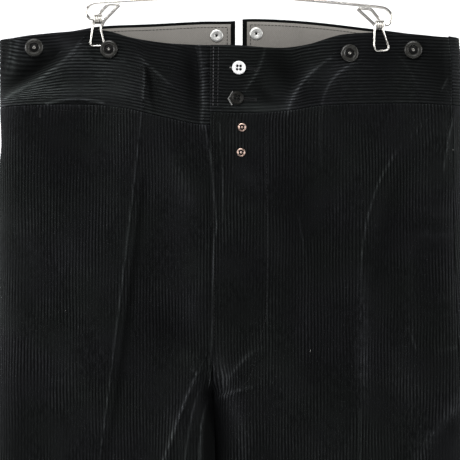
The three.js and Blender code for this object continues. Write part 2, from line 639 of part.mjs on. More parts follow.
for (const face of ["front", "back"])
  for (const side of ["right", "left"]) add(`${face}_${side}`, legPanel(face, side), corduroy);

// Waistband: the wearer's left front laps over the right front by the fly's width. The back is split at the centre.
const FLY_X = outline("parting", SEAM_Z);
const SPLIT = { right: -5.5, left: 3.5 };
const BAND_PIECES = [
  { face: "front", side: "right", endX: FLY_X + FLY_WIDTH, top: FRONT_TOP, seam: FRONT_SEAM.right },
  { face: "front", side: "left", endX: FLY_X - FLY_EDGE, top: FRONT_TOP, seam: FRONT_SEAM.left, lift: TOP_FLY_BAND },
  { face: "back", side: "right", endX: SPLIT.right, top: BACK_TOP, seam: BACK_SEAM },
  { face: "back", side: "left", endX: SPLIT.left, top: BACK_TOP, seam: BACK_SEAM },
];
for (const piece of BAND_PIECES) {
  const { face, side, endX } = piece;
  const distances = bandDistances(side, seamStart(face, side), endX);
  add(`band_${face}_${side}`, band({ ...piece, distances }), corduroy);
}

// The lining stops short of the split and of the band's upper edge, and before the turn at the sides.
const LINING_INSET = { split: 5.5, top: 3, seam: 4 };
for (const piece of BAND_PIECES.filter(({ face }) => face === "back")) {
  const endX = piece.endX + outwards(piece.side) * LINING_INSET.split;
  const distances = bandDistances(piece.side, EDGE_ROUND, endX).slice(1);
  const inside = { thickness: LINING, off: -BAND - CLEAR, above: LINING_INSET.seam, drop: LINING_INSET.top };
  add(`lining_${piece.side}`, band({ ...piece, endX, distances, ...inside }), twill);
}

// The button stand under the fly, sewn to the wearer's right front.
const UNDERLAP_ROWS = 9;
const UNDERLAP_COLUMNS = 4;
function underlap() {
  const topZ = read(FRONT_SEAM.right, "x", "z", FLY_X + FLY_WIDTH) - GAP - CLEAR;
  const rows = Array.from({ length: UNDERLAP_ROWS + 1 }, (_, i) => {
    const down = i / UNDERLAP_ROWS;
    const z = mix(topZ, UNDERLAP_END_Z, down);
    const from = outline("parting", z) + GAP / 2;
    const to = from + FLY_WIDTH * (1 - 0.5 * ease((down - 0.7) / 0.3));
    return spread(from, to, UNDERLAP_COLUMNS).map((x) => ({ face: "front", side: "left", x, z }));
  });
  return cloth(rows, CLOTH, -0.1);
}
add("fly_underlap", underlap(), corduroy);

// Brace buttons: four on the front band and two on the back band, each with its rivet inside.
const BRACE_BUTTONS = [
  { name: "front_1", face: "front", side: "right", x: -205.3, z: -137.4 },
  { name: "front_2", face: "front", side: "right", x: -131, z: -138.7 },
  { name: "front_3", face: "front", side: "left", x: 109.8, z: -142.9 },
  { name: "front_4", face: "front", side: "left", x: 173.7, z: -139.3 },
  { name: "back_1", face: "back", side: "right", x: -22.9, z: -124.2 },
  { name: "back_2", face: "back", side: "left", x: 16.9, z: -122.1 },
];
for (const button of BRACE_BUTTONS) {
  const inside = BAND + CLEAR + (button.face === "back" ? LINING + CLEAR : 0);
  add(`brace_button_${button.name}`, turned(BRACE_BUTTON, button), blackMetal);
  add(`brace_rivet_${button.name}`, turned(RIVET_BACK, button, { off: inside, inward: true }), paleMetal);
}

// The waistband closes with two buttons, and two rivets stand below it on the fly.
const onBand = { face: "front", side: "left", lift: TOP_FLY_BAND };
const onFly = { face: "front", side: "left", lift: TOP_FLY_PANEL };
add("waist_button_upper", turned(SHIRT_BUTTON, { ...onBand, x: -0.7, z: -157.7 }), shell);
add("waist_button_lower", turned(SHIRT_BUTTON, { ...onBand, x: -3, z: -189 }), horn);
add("fly_rivet_upper", turned(FLY_RIVET, { ...onFly, x: 2.5, z: -218 }), copper);
add("fly_rivet_lower", turned(FLY_RIVET, { ...onFly, x: 1.5, z: -243 }), copper);

add("hanger_frame", hangerFrame(), steel);
for (const side of ["right", "left"]) {
  for (const face of ["front", "back"]) add(`clip_${side}_${face}`, jaw(side, face), steel);
  add(`clip_${side}_spring`, spring(side), steel);
}

export default trousers;
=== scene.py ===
"""Black corduroy trousers, clipped by their waistband to a wire hanger.

Each cloth piece is a thin shell with its wales modelled, laid on the form of the frame's solid that it
stands for.
Sizes and places are in millimetres unless a name says otherwise; meshes are written in metres.
The front faces -Y, and "left" and "right" are the wearer's, so the wearer's right is at -X.
"""

import math
from collections import namedtuple

import bpy
import numpy as np
from bpy.props import FloatProperty, FloatVectorProperty, PointerProperty
from bpy.types import Operator, Panel, PropertyGroup
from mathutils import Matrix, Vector


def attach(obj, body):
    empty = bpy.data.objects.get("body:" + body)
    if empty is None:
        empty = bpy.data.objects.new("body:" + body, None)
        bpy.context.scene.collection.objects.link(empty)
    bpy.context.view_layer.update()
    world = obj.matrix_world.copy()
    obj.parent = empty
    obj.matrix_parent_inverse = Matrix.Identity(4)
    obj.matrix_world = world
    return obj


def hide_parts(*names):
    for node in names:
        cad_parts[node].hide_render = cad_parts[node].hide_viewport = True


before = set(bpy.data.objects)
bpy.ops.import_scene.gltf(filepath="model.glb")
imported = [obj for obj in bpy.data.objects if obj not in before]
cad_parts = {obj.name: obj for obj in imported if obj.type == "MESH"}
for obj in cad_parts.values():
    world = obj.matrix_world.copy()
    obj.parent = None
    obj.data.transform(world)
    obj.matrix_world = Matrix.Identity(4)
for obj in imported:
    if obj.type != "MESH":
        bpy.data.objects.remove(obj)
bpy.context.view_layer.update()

MM = 0.001

bl_info = {
    "name": "Corduroy Trousers on a Clip Hanger",
    "version": (1, 0, 0),
    "blender": (4, 5, 0),
    "location": "3D Viewport > Sidebar > Trousers",
    "description": "Builds corduroy trousers with modelled wales, their buttons and a wire clip hanger",
    "category": "Add Mesh",
}


# ---- sizes and tables ---------------------------------------------------------------------------


def table(columns, *rows):
    """Named columns of numbers. The first column is the one that the others are read by."""
    order = np.array(rows, float)
    if order[0, 0] > order[-1, 0]:
        order = order[::-1]
    return dict(zip(columns.split(), order.T))


GAP = 0.34  # air between pieces that are sewn together
WAIST_GAP = 0.2  # and between the waistband and the legs
BAND_THICKNESS = 3.0
LINING_THICKNESS = 1.0
SEAM_Z = -195.0
TOP_Z = -204.0  # where the legs' first row starts, before it follows the waistband's seam
SEAM_FADE = 130.0
CROTCH_Z = -488.0
HEM_Z = -1215.0
HEM_DEPTH = 38.0
HEM_STITCH = {"outer": 14.0, "inner": 5.0}  # how far from a leg's edges the hem's stitching ends
LINING_AIR = 0.4  # between the waistband and its lining
CLIP_X = {"right": -141.5, "left": 142.0}
PINCH_HALF_WIDTH = 46.0
PINCH_FADE = 190.0
PINCH_TOP_Z = -125.0
PINCH_DEPTH = {"front": 5.0, "back": 5.6}
EDGE_ROUND = 28.0
INSEAM_ROUND = 26.0
CROTCH_RISE = 58.0
LEG_STAGGER = 12.0
LEG_STAGGER_RUN = 80.0
LEG_STAGGER_REACH = 60.0
LEG_STAGGER_Z = -474.0
FLY_LIFT = {"panel": 3.2, "band": BAND_THICKNESS + 0.6}
FLY_WIDTH = 50.0
FLY_EDGE = 1.6
FLY_LAND = 14.0
FLY_FADE = 28.0
FLY_LIFT_END, FLY_LIFT_RUN = 44.0, 30.0  # how far past the underlap the fly settles, and over what length
UNDERLAP_TOP_Z = -216.2
UNDERLAP_END_Z = -444.0
SIDE_SEAM = {"right": ("back", 6.0), "left": ("front", 11.0)}
SPLIT = {"right": -4.2, "left": 3.0}

OUTLINE = table(
    "z right_out left_out parting apart front back",
    (-105, -240.6, 220.6, -27.5, 0, 18, 15),
    (-128, -240.6, 220.2, -27.5, 0, 19, 16),
    (-150, -240.5, 222.4, -27.5, 0, 20.5, 17.5),
    (-205, -239.9, 223.4, -27.5, 0, 23, 20),
    (-234, -238.6, 223.6, -27.4, 0, 23.7, 21),
    (-255, -240.4, 223.6, -27.4, 0, 24, 22),
    (-300, -240.9, 223.9, -27.3, 0, 25, 24),
    (-400, -241.6, 227.0, -26.8, 0, 27, 26),
    (-424, -240.9, 228.0, -26.7, 0, 27.3, 26.5),
    (-442, -242.4, 229.0, -26.6, 0, 27.5, 27),
    (-488, -244.5, 231.0, -26.5, -1.0, 28, 28),
    (-513, -246.0, 232.0, -26.4, -2.4, 28, 28),
    (-558, -248.0, 233.0, -26.0, -3.4, 28, 28),
    (-700, -249.0, 232.0, -25.0, -3.0, 28, 28),
    (-900, -244.0, 223.0, -20.5, 6.0, 27, 27),
    (-1100, -240.0, 214.0, -16.5, 14.0, 26, 26),
    (-1230, -239.0, 211.0, -15.0, 18.0, 25, 25),
)
CENTRE_BACK = table("z x", (-105, -1.0), (-205, -1.0), (-345, -7.0), (-435, -18.0), (-488, -26.5))
BAND_TOP = {
    "front": table(
        "x z",
        (-245, -129.8), (-237.5, -129.4), (-225, -128.2), (-216, -126.8), (-206, -125.4), (-184, -122.9),
        (-161.5, -120.6), (-149.5, -118.8), (-129.5, -121.2), (-109.5, -127.2), (-89.5, -131.2),
        (-69.5, -133.9), (-39.5, -135.5), (0.5, -136.0), (22.5, -137.8), (45.5, -138.3), (70.5, -134.6),
        (90.5, -128.4), (105.5, -124.6), (145.5, -121.6), (160.5, -122.4), (185, -125.0), (200.5, -126.8),
        (228, -128.2),
    ),
    "back": table(
        "x z",
        (-245, -129.4), (-237.5, -129.2), (-225, -127.8), (-216, -126.0), (-206, -124.9), (-184, -122.2),
        (-161.5, -119.0), (-139.5, -115.4), (-89.5, -112.6), (-39.5, -109.8), (-6.5, -109.4), (7.5, -107.2),
        (50.5, -108.4), (90.5, -112.0), (135.5, -118.0), (180.5, -123.4), (228, -128.0),
    ),
}
BAND_SEAM = {
    ("front", "right"): table(
        "x z", (-245, -198.5), (-219.5, -196.6), (-186.5, -195.2), (-161.5, -194.8), (-141.5, -195.3),
        (-114, -198.8), (-89.5, -204.6), (-69.5, -209.2), (-39.5, -215.0), (30, -215.0),
    ),
    ("front", "left"): table(
        "x z", (-30, -203.0), (10, -203.8), (47.5, -201.6), (80.5, -196.5), (110, -194.6), (135.5, -193.8),
        (170.5, -193.8), (200.5, -195.4), (228, -196.6),
    ),
    "back": table(
        "x z", (-245, -197.5), (-219.5, -195.2), (-150, -194.0), (-60, -195.0), (0, -197.0), (60, -196.0),
        (150, -193.6), (200.5, -195.0), (228, -196.6),
    ),
}
BAND_SEAM["back", "right"] = BAND_SEAM["back", "left"] = BAND_SEAM.pop("back")

# A fold runs from start by bend to end and stands out by lift. side_a is its width to the left when looking
# from start to end, side_b to the right. A negative lift is a trough.
Fold = namedtuple("Fold", "start bend end lift side_a side_b")
FOLDS = {
    "front": [
        # the two long pleats
        Fold((-97, -203), (-110.5, -340), (-146, -600), 4.2, 12, 30),
        Fold((163, -236), (97, -292), (120, -640), 4.2, 16, 28),
        # drags from the crotch
        Fold((-40, -460), (-60, -504), (-88, -590), 3.0, 8, 14),
        Fold((-34, -474), (-47, -502), (-57, -585), 1.6, 8, 9),
        Fold((-76, -232), (-62, -264), (-42, -310), 2.2, 16, 16),
        # the waistband between the clips and the sides
        Fold((-164, -138), (-188, -172), (-240, -192), 5.5, 9, 12),
        Fold((-98, -146), (-88, -158), (-66, -184), 2.6, 9, 7),
        Fold((48, -132), (44, -155), (58, -182), -3.5, 16, 16),
        Fold((100, -146), (62, -168), (45, -207), 3.6, 12, 9),
        Fold((116, -150), (76, -172), (82, -206), 2.4, 10, 8),
        # knees
        Fold((60, -800), (110, -815), (170, -800), 3.0, 22, 26),
        Fold((-190, -830), (-140, -845), (-80, -825), 3.0, 22, 26),
    ],
    "back": [
        Fold((-90, -420), (-110, -500), (-128, -640), 5.5, 24, 14),
        Fold((60, -425), (88, -500), (104, -650), 5.5, 14, 24),
        Fold((-34, -462), (-60, -505), (-84, -580), 4.0, 12, 9),
        Fold((-18, -462), (8, -505), (34, -585), 4.0, 9, 12),
        Fold((50, -860), (100, -880), (170, -862), 3.0, 24, 24),
        Fold((-200, -880), (-140, -896), (-80, -876), 3.0, 24, 24),
    ],
}
# Small creases that only the cloth itself is fine enough to hold.
CREASES = {
    "front": [
        # waistband at the wearer's right: the drag from the clip, the hollow above it, the turn at the side
        Fold((-160, -134), (-185, -170), (-242, -192.5), 3.0, 2.0, 4.0),
        Fold((-186, -148), (-204, -163), (-241, -184), -5.0, 5, 8),
        Fold((-236.5, -130), (-235, -148), (-237, -168), -2.6, 3.0, 2.5),
        Fold((-228, -130), (-229, -150), (-236, -170), 2.0, 3.0, 3.0),
        Fold((-150, -138), (-150, -150), (-149, -168), 0.8, 3.0, 3.0),
        Fold((-192, -194.0), (-166, -185.6), (-136, -192.6), 2.2, 1.4, 1.5),
        Fold((-96, -150), (-95, -165), (-95, -196), 1.6, 1.8, 3.5),
        Fold((-90, -158), (-89, -178), (-85, -206), -2.4, 4, 3),
        Fold((-101, -147), (-86, -160), (-66, -178), 2.0, 3, 3),
        Fold((-62, -140), (-52, -170), (-60, -205), -2.4, 14, 12),
        # the fly: a break in the under side, and its hollow
        Fold((-43, -138), (-35.5, -160), (-37.8, -214), 2.8, 7.0, 1.0),
        Fold((-41.5, -138), (-39.5, -164), (-40.2, -214), -3.0, 1.2, 9),
        Fold((-37, -157), (-32, -156.5), (-27, -157), -0.9, 1.5, 1.5),
        Fold((-34.5, -216), (-30.5, -232), (-28, -262), 1.6, 2.0, 2.5),
        # waistband at the wearer's left
        Fold((25, -140), (22, -160), (5, -182), 2.4, 2.6, 3.0),
        Fold((43, -140), (42, -162), (36, -186), -4.0, 13, 12),
        Fold((90, -149), (54, -172), (47, -206), 2.6, 2.6, 3.0),
        Fold((119, -151), (84, -166), (81, -202), 2.2, 2.6, 3.0),
        Fold((66, -160), (62, -178), (58, -200), -1.6, 6, 6),
        Fold((208, -168), (204, -174), (201, -182), 0.8, 1.8, 1.8),
        Fold((152, -140), (172, -154), (182, -192), 0.9, 2.4, 3.0),
        Fold((209.5, -130), (209.5, -160), (209.5, -194), -1.6, 4, 4),
        Fold((186, -150), (196, -162), (204, -176), -2.2, 14, 10),
        # the long pleats' edges
        Fold((-97.0, -198), (-110.5, -340), (-146, -600), 1.1, 1.1, 2.2),
        Fold((-93.0, -240), (-104.5, -360), (-139, -600), -0.8, 5, 2.4),
        Fold((163, -234), (124, -276), (119.5, -366), 1.3, 1.6, 2.0),
        Fold((119.5, -498), (119.5, -520), (119, -560), 1.0, 1.4, 1.6),
        # the crotch
        Fold((-42, -462), (-66, -510), (-88, -590), 1.9, 2.0, 2.4),
        Fold((-47, -474), (-66, -514), (-82, -590), 0.9, 1.6, 1.8),
        Fold((-36, -470), (-51, -500), (-56, -570), 1.1, 1.6, 2.0),
        Fold((-30, -488), (-43, -512), (-38.5, -570), 1.8, 1.9, 2.0),
        Fold((-46, -461), (-42, -464), (-38, -461), 1.2, 1.6, 1.6),
        Fold((-56, -446), (-46, -450), (-36, -444), 1.0, 3, 3),
        Fold((-30, -446), (-30, -470), (-31, -492), 1.2, 1.2, 1.5),
        # the fly's lower end
        Fold((21, -437), (3, -444), (-14, -472), 2.0, 3.0, 3.4),
        Fold((27, -442), (14, -456), (-6, -476), -1.4, 4, 3),
        Fold((12, -476), (-5, -479), (-27, -490), 2.0, 1.5, 2.0),
        # along the fly's edge, where it was pressed
        Fold((-29, -230), (-25, -290), (-22.8, -318), 1.3, 1.4, 1.8),
        Fold((-22.8, -314), (-27, -338), (-27.2, -404), 1.3, 1.4, 1.8),
        Fold((-27.2, -396), (-28, -440), (-30, -484), 1.2, 1.3, 1.6),
        Fold((-20, -214), (-16, -262), (-16.2, -310), 0.9, 1.3, 1.3),
        Fold((80.5, -204), (80, -230), (81, -262), 0.5, 1.2, 1.2),
        # soft slopes and small creases
        Fold((58, -304), (62, -324), (66, -350), 0.8, 1.2, 1.6),
        Fold((26.5, -212), (28, -340), (27, -440), 0.5, 1.4, 1.4),
        Fold((220, -482), (194, -514), (170, -570), 1.8, 6, 9),
        Fold((226, -512), (202, -540), (186, -590), 1.0, 6, 8),
        Fold((-219, -300), (-180, -350), (-150, -400), 1.4, 18, 18),
        Fold((-64, -250), (-56, -276), (-44, -304), 1.6, 5, 6),
        Fold((-70, -330), (-60, -352), (-46, -372), -1.6, 9, 9),
        Fold((-38, -300), (-32, -312), (-20, -318), 0.8, 3, 3),
        Fold((216, -200), (207, -226), (203, -262), 1.4, 1.6, 2.0),
        Fold((212, -198), (212, -226), (219, -262), 1.2, 1.6, 2.0),
        Fold((171, -424), (173, -434), (176, -440), 0.9, 1.5, 2.0),
        Fold((162, -306), (186, -301), (212, -305), 0.6, 3, 4),
        Fold((166, -338), (190, -332), (214, -337), 0.5, 3, 3),
        Fold((160, -392), (188, -386), (216, -393), 0.6, 4, 3),
        Fold((-214, -402), (-170, -410), (-130, -404), 0.6, 5, 5),
        Fold((-222, -470), (-180, -480), (-150, -474), 0.6, 5, 6),
        # the watch pocket's mouth
        Fold((-199, -201.2), (-170, -200.4), (-142, -201.2), -0.9, 1.0, 1.4),
        Fold((-143, -196), (-142.6, -200), (-143, -205), 0.7, 1.0, 1.0),
    ],
    "back": [
        Fold((-150, -220), (-146, -270), (-152, -330), 1.6, 9, 9),
        Fold((120, -220), (116, -280), (124, -340), 1.6, 9, 9),
        Fold((-60, -360), (-80, -420), (-60, -470), 1.4, 12, 12),
        Fold((40, -370), (56, -430), (30, -475), 1.4, 12, 12),
        Fold((-92, -430), (-112, -505), (-130, -640), 2.4, 3, 2.4),
        Fold((62, -435), (90, -505), (106, -650), 2.4, 2.4, 3),
        Fold((-32, -464), (-60, -508), (-86, -590), 1.8, 2, 2),
        Fold((-20, -464), (10, -508), (36, -590), 1.8, 2, 2),
        Fold((-205, -150), (-190, -170), (-196, -192), 1.8, 7, 7),
        Fold((92, -140), (76, -165), (84, -192), 1.8, 6, 5),
        Fold((-100, -140), (-84, -165), (-90, -192), 1.6, 5, 6),
        Fold((150, -130), (172, -152), (214, -172), 2.4, 3, 4),
    ],
}
# Painted shade and highlights on the pile, laid out as folds are, with a shade in place of the lift.
PAINTED_STROKES = {
    "front": [
        Fold((-184, -146), (-204, -163), (-242, -186), -0.62, 4.5, 9),
        Fold((-158, -134), (-186, -170), (-242, -193.5), 0.42, 9, 2.2),
        Fold((-224, -132), (-204, -142), (-190, -138), 0.24, 8, 8),
        Fold((-222, -128), (-225, -148), (-229, -168), 0.5, 4, 4),
        Fold((-233.5, -126), (-233, -148), (-238, -174), -0.5, 3.6, 3.6),
        Fold((-120, -130), (-100, -138), (-78, -142), -0.22, 7, 7),
        Fold((-52, -142), (-46, -168), (-46, -200), -0.42, 4, 9),
        Fold((-92, -160), (-88, -180), (-82, -202), -0.32, 7, 4),
        Fold((28, -140), (46, -164), (62, -184), -0.42, 13, 11),
        Fold((16, -172), (20, -186), (32, -193), -0.25, 5, 5),
        Fold((186, -136), (202, -160), (212, -190), -0.35, 20, 20),
        Fold((128, -136), (140, -150), (150, -186), -0.12, 16, 16),
        Fold((-240, -186), (-190, -182), (-108, -182), 0.54, 12, 12),
        Fold((-166, -146), (-148, -160), (-104, -158), 0.33, 18, 18),
        Fold((-184, -128), (-172, -134), (-164, -142), 0.3, 7, 7),
        Fold((-192, -194.0), (-166, -185.8), (-136, -192.6), 0.7, 1.3, 1.4),
        Fold((-184, -194.6), (-165, -190.4), (-142, -194.6), -0.5, 1.1, 1.2),
        Fold((-36.5, -142), (-34.5, -176), (-35.5, -212), 0.45, 4, 1.4),
        Fold((-33, -190), (-31, -200), (-31, -212), 0.3, 3, 3),
        Fold((72, -160), (52, -182), (46, -204), 0.42, 7, 6),
        Fold((-26, -196), (6, -198), (44, -198), 0.3, 4, 4),
        Fold((114, -154), (92, -164), (84, -178), 0.2, 7, 7),
        Fold((8, -200), (24, -200), (50, -198), 0.22, 4, 4),
        Fold((-88, -212), (-60, -300), (-58, -400), 0.05, 26, 20),
        Fold((-66, -250), (-58, -272), (-48, -300), 0.16, 9, 9),
        Fold((-184, -230), (-192, -262), (-170, -300), -0.14, 24, 22),
        Fold((-176, -330), (-160, -356), (-142, -378), 0.12, 12, 10),
        Fold((-92, -380), (-78, -408), (-62, -430), -0.1, 24, 22),
        Fold((-96.5, -270), (-105.5, -370), (-129, -530), -0.42, 4.5, 2.2),
        Fold((-92, -402), (-72, -415), (-48, -430), -0.15, 13, 13),
        Fold((-215, -308), (-212, -340), (-200, -380), 0.14, 12, 14),
        Fold((-185, -345), (-172, -366), (-160, -392), 0.12, 9, 9),
        Fold((-200, -420), (-170, -470), (-180, -545), 0.1, 30, 34),
        Fold((-72, -500), (-62, -515), (-56, -540), 0.16, 8, 8),
        Fold((-54, -384), (-48, -398), (-44, -412), 0.12, 6, 6),
        Fold((-56, -444), (-48, -452), (-38, -450), 0.2, 8, 7),
        Fold((0, -262), (12, -274), (24, -270), 0.16, 8, 8),
        Fold((-2, -292), (8, -300), (20, -296), 0.12, 7, 7),
        Fold((44, -250), (60, -330), (64, -460), -0.1, 20, 16),
        Fold((10, -230), (8, -320), (8, -440), -0.12, 24, 24),
        Fold((60, -230), (90, -320), (84, -480), -0.1, 44, 40),
        Fold((150, -230), (190, -330), (150, -470), -0.1, 40, 40),
        Fold((166, -250), (142, -300), (134, -360), -0.12, 14, 6),
        Fold((121.5, -362), (125, -440), (122, -500), 0.34, 6, 6.5),
        Fold((116, -430), (116, -450), (118, -480), 0.16, 7, 4),
        Fold((168, -326), (171, -380), (168, -428), 0.16, 7, 7),
        Fold((62, -330), (65, -386), (66, -440), 0.16, 8, 8),
        Fold((182, -300), (200, -304), (224, -298), 0.24, 3.5, 3.5),
        Fold((176, -324), (200, -328), (222, -322), 0.2, 3, 3),
        Fold((200, -384), (212, -381), (226, -382), 0.24, 2, 2.4),
        Fold((198, -440), (212, -436), (228, -437), 0.3, 1.8, 2.2),
        Fold((230, -480), (198, -508), (166, -560), 0.32, 6, 7),
        Fold((204, -512), (214, -520), (226, -522), -0.16, 8, 8),
        Fold((160, -450), (176, -490), (170, -540), 0.1, 14, 12),
        Fold((-31, -482), (-30, -520), (-30, -580), -0.95, 7, 6.5),
        Fold((-20, -492), (-18, -520), (-18, -580), -0.2, 6, 6),
        Fold((-31, -490), (-41, -512), (-37.5, -570), 0.5, 2.0, 2.2),
        Fold((-43, -464), (-66, -510), (-87, -590), 0.2, 2.4, 2.6),
        Fold((18, -438), (4, -446), (-10, -468), 0.14, 3, 3.4),
        Fold((-12, -486), (4, -510), (4, -560), 0.24, 8, 10),
        Fold((12, -476), (-5, -479), (-26, -489), 0.34, 1.8, 2.2),
        Fold((-48, -457), (-44, -464), (-40, -460), 0.5, 1.3, 1.3),
        Fold((-24, -446), (-20, -466), (-10, -482), 0.2, 7, 8),
        Fold((-8, -486), (2, -500), (8, -560), 0.12, 10, 7),
        Fold((-16, -450), (-16, -468), (-8, -480), 0.22, 6, 8),
        Fold((-235, -240), (-235, -330), (-235, -420), 0.08, 4, 8),
        Fold((206, -200), (208, -224), (212, -250), 0.16, 8, 8),
    ],
    "back": [
        Fold((-110, -240), (-90, -320), (-100, -400), 0.12, 24, 24),
        Fold((70, -230), (90, -320), (70, -410), -0.14, 24, 24),
        Fold((-60, -380), (-80, -430), (-60, -480), -0.16, 12, 12),
        Fold((40, -380), (56, -430), (30, -480), 0.14, 12, 12),
        Fold((-205, -150), (-190, -170), (-196, -192), 0.2, 8, 9),
        Fold((92, -140), (76, -165), (84, -192), -0.2, 10, 9),
    ],
}
# Places where the wales are dragged aside: part, face, x, z, reach in x, reach in z, shift. On the legs a
# shift is towards the wearer's left, and on the waistband it is down.
DRAGGED = [
    ("band", "front", -238, -174, 44, 18, 11.0),
    ("band", "front", -196, -160, 16, 14, 2.4),
    ("band", "front", -40, -172, 7, 24, 1.6),
    ("band", "front", 40, -168, 18, 16, -2.0),
    ("band", "front", -9, -143, 15, 8, -1.7),
    ("band", "front", -5, -172, 12, 6, 1.0),
    ("band", "front", 54, -186, 9, 12, 2.6),
    ("band", "front", 84, -172, 9, 14, 1.8),
    ("band", "front", 206, -172, 14, 20, 1.6),
    ("leg", "front", -16, -470, 13, 13, 4.6),
    ("leg", "front", 212, -226, 8, 26, 2.0),
    ("leg", "front", -60, -296, 14, 24, -1.6),
    ("leg", "front", 126, -340, 10, 60, 1.6),
]
# Places where the wales stand clear: x, z, reach in x, reach in z.
CRISP = ((-16, -468, 14, 22), (2, -530, 14, 60), (66, -390, 12, 40), (-190, -300, 20, 40))
LINING_INSET = {"split": 4.6, "top": 3.0, "seam": 4.5}

# Turned profiles are (radius, height above the cloth), from the axis behind to the axis in front.
BRACE_BUTTON = [
    (0, 0), (3.0, 0), (2.9, 2.0), (8.1, 2.5), (8.9, 3.0), (8.9, 3.6), (8.3, 4.3), (7.4, 4.6), (5.8, 4.5),
    (4.9, 4.0), (4.5, 2.4), (0, 2.3),
]
BRACE_EYELET = [(0, 2.3), (1.6, 2.3), (1.6, 3.3), (1.35, 3.8), (0.9, 3.8), (0.6, 3.4), (0.5, 2.7), (0, 2.7)]
# A dark disc on the floor of the button's recess: painted shade in the recess.
BRACE_WELL = [(0, 2.2), (4.4, 2.2), (4.4, 2.5), (0, 2.55)]
WASHER = [
    (0, -0.3), (6.4, -0.3), (6.5, 0.4), (6.0, 0.9), (4.6, 1.1), (3.0, 0.95), (2.0, 0.9), (1.6, 0.4), (0, 0.4),
]
WASHER_PIN = [(0, 0.3), (1.35, 0.3), (1.25, 0.62), (0.5, 0.78), (0, 0.8)]
FLY_RING = [
    (0, -0.3), (4.4, -0.3), (4.4, 0.5), (4.0, 1.2), (3.3, 1.35), (2.7, 0.9), (2.4, 0.4), (1.3, 0.35),
    (1.1, 0.75), (0.6, 1.0), (0, 1.05),
]
# A dark disc in the rivet's recess, round its middle: painted shade in the recess.
FLY_WELL = [(0, 0.3), (2.55, 0.3), (2.5, 0.52), (1.0, 0.52), (0, 0.5)]
SHIRT_BUTTON = [
    (0, 0), (1.8, 0), (1.7, 1.1), (6.0, 1.2), (6.7, 1.7), (6.8, 2.2), (6.3, 3.0), (5.4, 3.3), (4.6, 3.1),
    (4.0, 2.5), (0, 2.4),
]
HOLE_OFFSET, HOLE_RADIUS = 1.65, 1.4  # of a button's four holes, from its middle
THREAD_RADIUS = 1.25
BUTTON_AIR = 0.3
BUTTON_NOD = 0.05  # how far a waist button looks up
BUTTONHOLE_TACK = (2.4, -0.2)  # how the bartack runs on from the buttonhole's end
BUTTONHOLE = {"start": 5.0, "end": 18.0, "half_gap": 0.95, "drop": 0.4, "fall": 1.6, "edge": 1.5, "tack": 3.6}
BUTTON_DRILL = [(0, -1), (HOLE_RADIUS, -1), (HOLE_RADIUS, 6), (0, 6)]
BUTTON_THREAD = [(0, -0.4), (THREAD_RADIUS, -0.4), (THREAD_RADIUS, 1.2), (0.6, 1.5), (0, 1.5)]
BRACE_BUTTONS = {
    "front_1": ("front", "right", -204.6, -138.5),
    "front_2": ("front", "right", -130.4, -139.2),
    "front_3": ("front", "left", 109.3, -144.0),
    "front_4": ("front", "left", 173.8, -140.2),
    "back_1": ("back", "right", -22.9, -124.2),
    "back_2": ("back", "left", 16.9, -122.1),
}
LAY_FLAT = 1.5  # share by which a brace button keeps facing forward where the cloth slopes
# x, z, finish, slot and how far the button leans to the wearer's left
WAIST_BUTTONS = {
    "waist_button_upper": (-0.7, -158.9, "White button", "white_button", 0.02),
    "waist_button_lower": (-3.0, -189.0, "Black button", "dark_button", 0.12),
}
BAR_HEIGHT = 0.9
# Pale thread at each buttonhole's end, past the button, as a painted rim highlight: rows of start, end and
# width.
BUTTONHOLE_END_HIGHLIGHTS = {
    "waist_button_upper": [((-8.2, -158.4), (-9.6, -158.6), 1.1)],
    "waist_button_lower": [((-6.9, -182.4), (-11.0, -189.2), 0.8), ((-11.2, -189.2), (-7.4, -195.8), 1.5)],
}
RIVET_AIR = 0.2
FLY_RIVETS = {"fly_rivet_upper": (2.5, -218.0), "fly_rivet_lower": (1.5, -243.0)}

FLY_CURVE = [(26, -206), (28, -340), (26.5, -405), (10.5, -468), (-3.5, -480), (-23, -487)]
# Rows of topstitching: face, side, lift, height above the cloth, thread radius, and a path of x, z.
STITCHING = {
    "band_edge": [
        ("front", "left", "band", 0.6, 0.56, [(-25.9, -138), (-26.4, -200)]),
        ("front", "left", "band", 0.35, 0.3, [(-21.0, -138), (-21.8, -200)]),
    ],
    "fly_edge": [
        ("front", "left", "panel", 0.2, 0.3, [(-25.9, -206), (-25.4, -320), (-25.0, -430)]),
    ],
    "fly": [
        ("front", "left", "panel", 0.15, 0.28, FLY_CURVE),
    ],
    "watch_pocket": [
        ("front", "right", "none", 0.3, 0.34, [(-192, -199.4), (-166, -201.8), (-147, -201.2)]),
        ("front", "right", "none", 0.2, 0.3, [(-137, -203.2), (-125, -203.6), (-112, -204.4)]),
    ],
    "side_pocket": [
        ("front", "left", "none", 0.15, 0.3, [(214, -200), (206, -222), (208.5, -250), (214, -262)]),
    ],
}
# Bartacks: face, side, lift, start, end, width.
BARTACKS = [
    ("front", "right", "none", (-198.5, -198.6), (-198.5, -209), 1.8),
    ("front", "right", "none", (-143, -195.6), (-143, -203.0), 1.6),
]
LINT_RADIUS, LINT_HEIGHT = 0.12, 0.6
# Specks of lint, the last a pale speck painted as a glint: side, x, z.
LINT = [("left", 70.5, -440), ("left", 40.5, -452), ("right", -172.5, -400), ("left", 212.5, -240)]

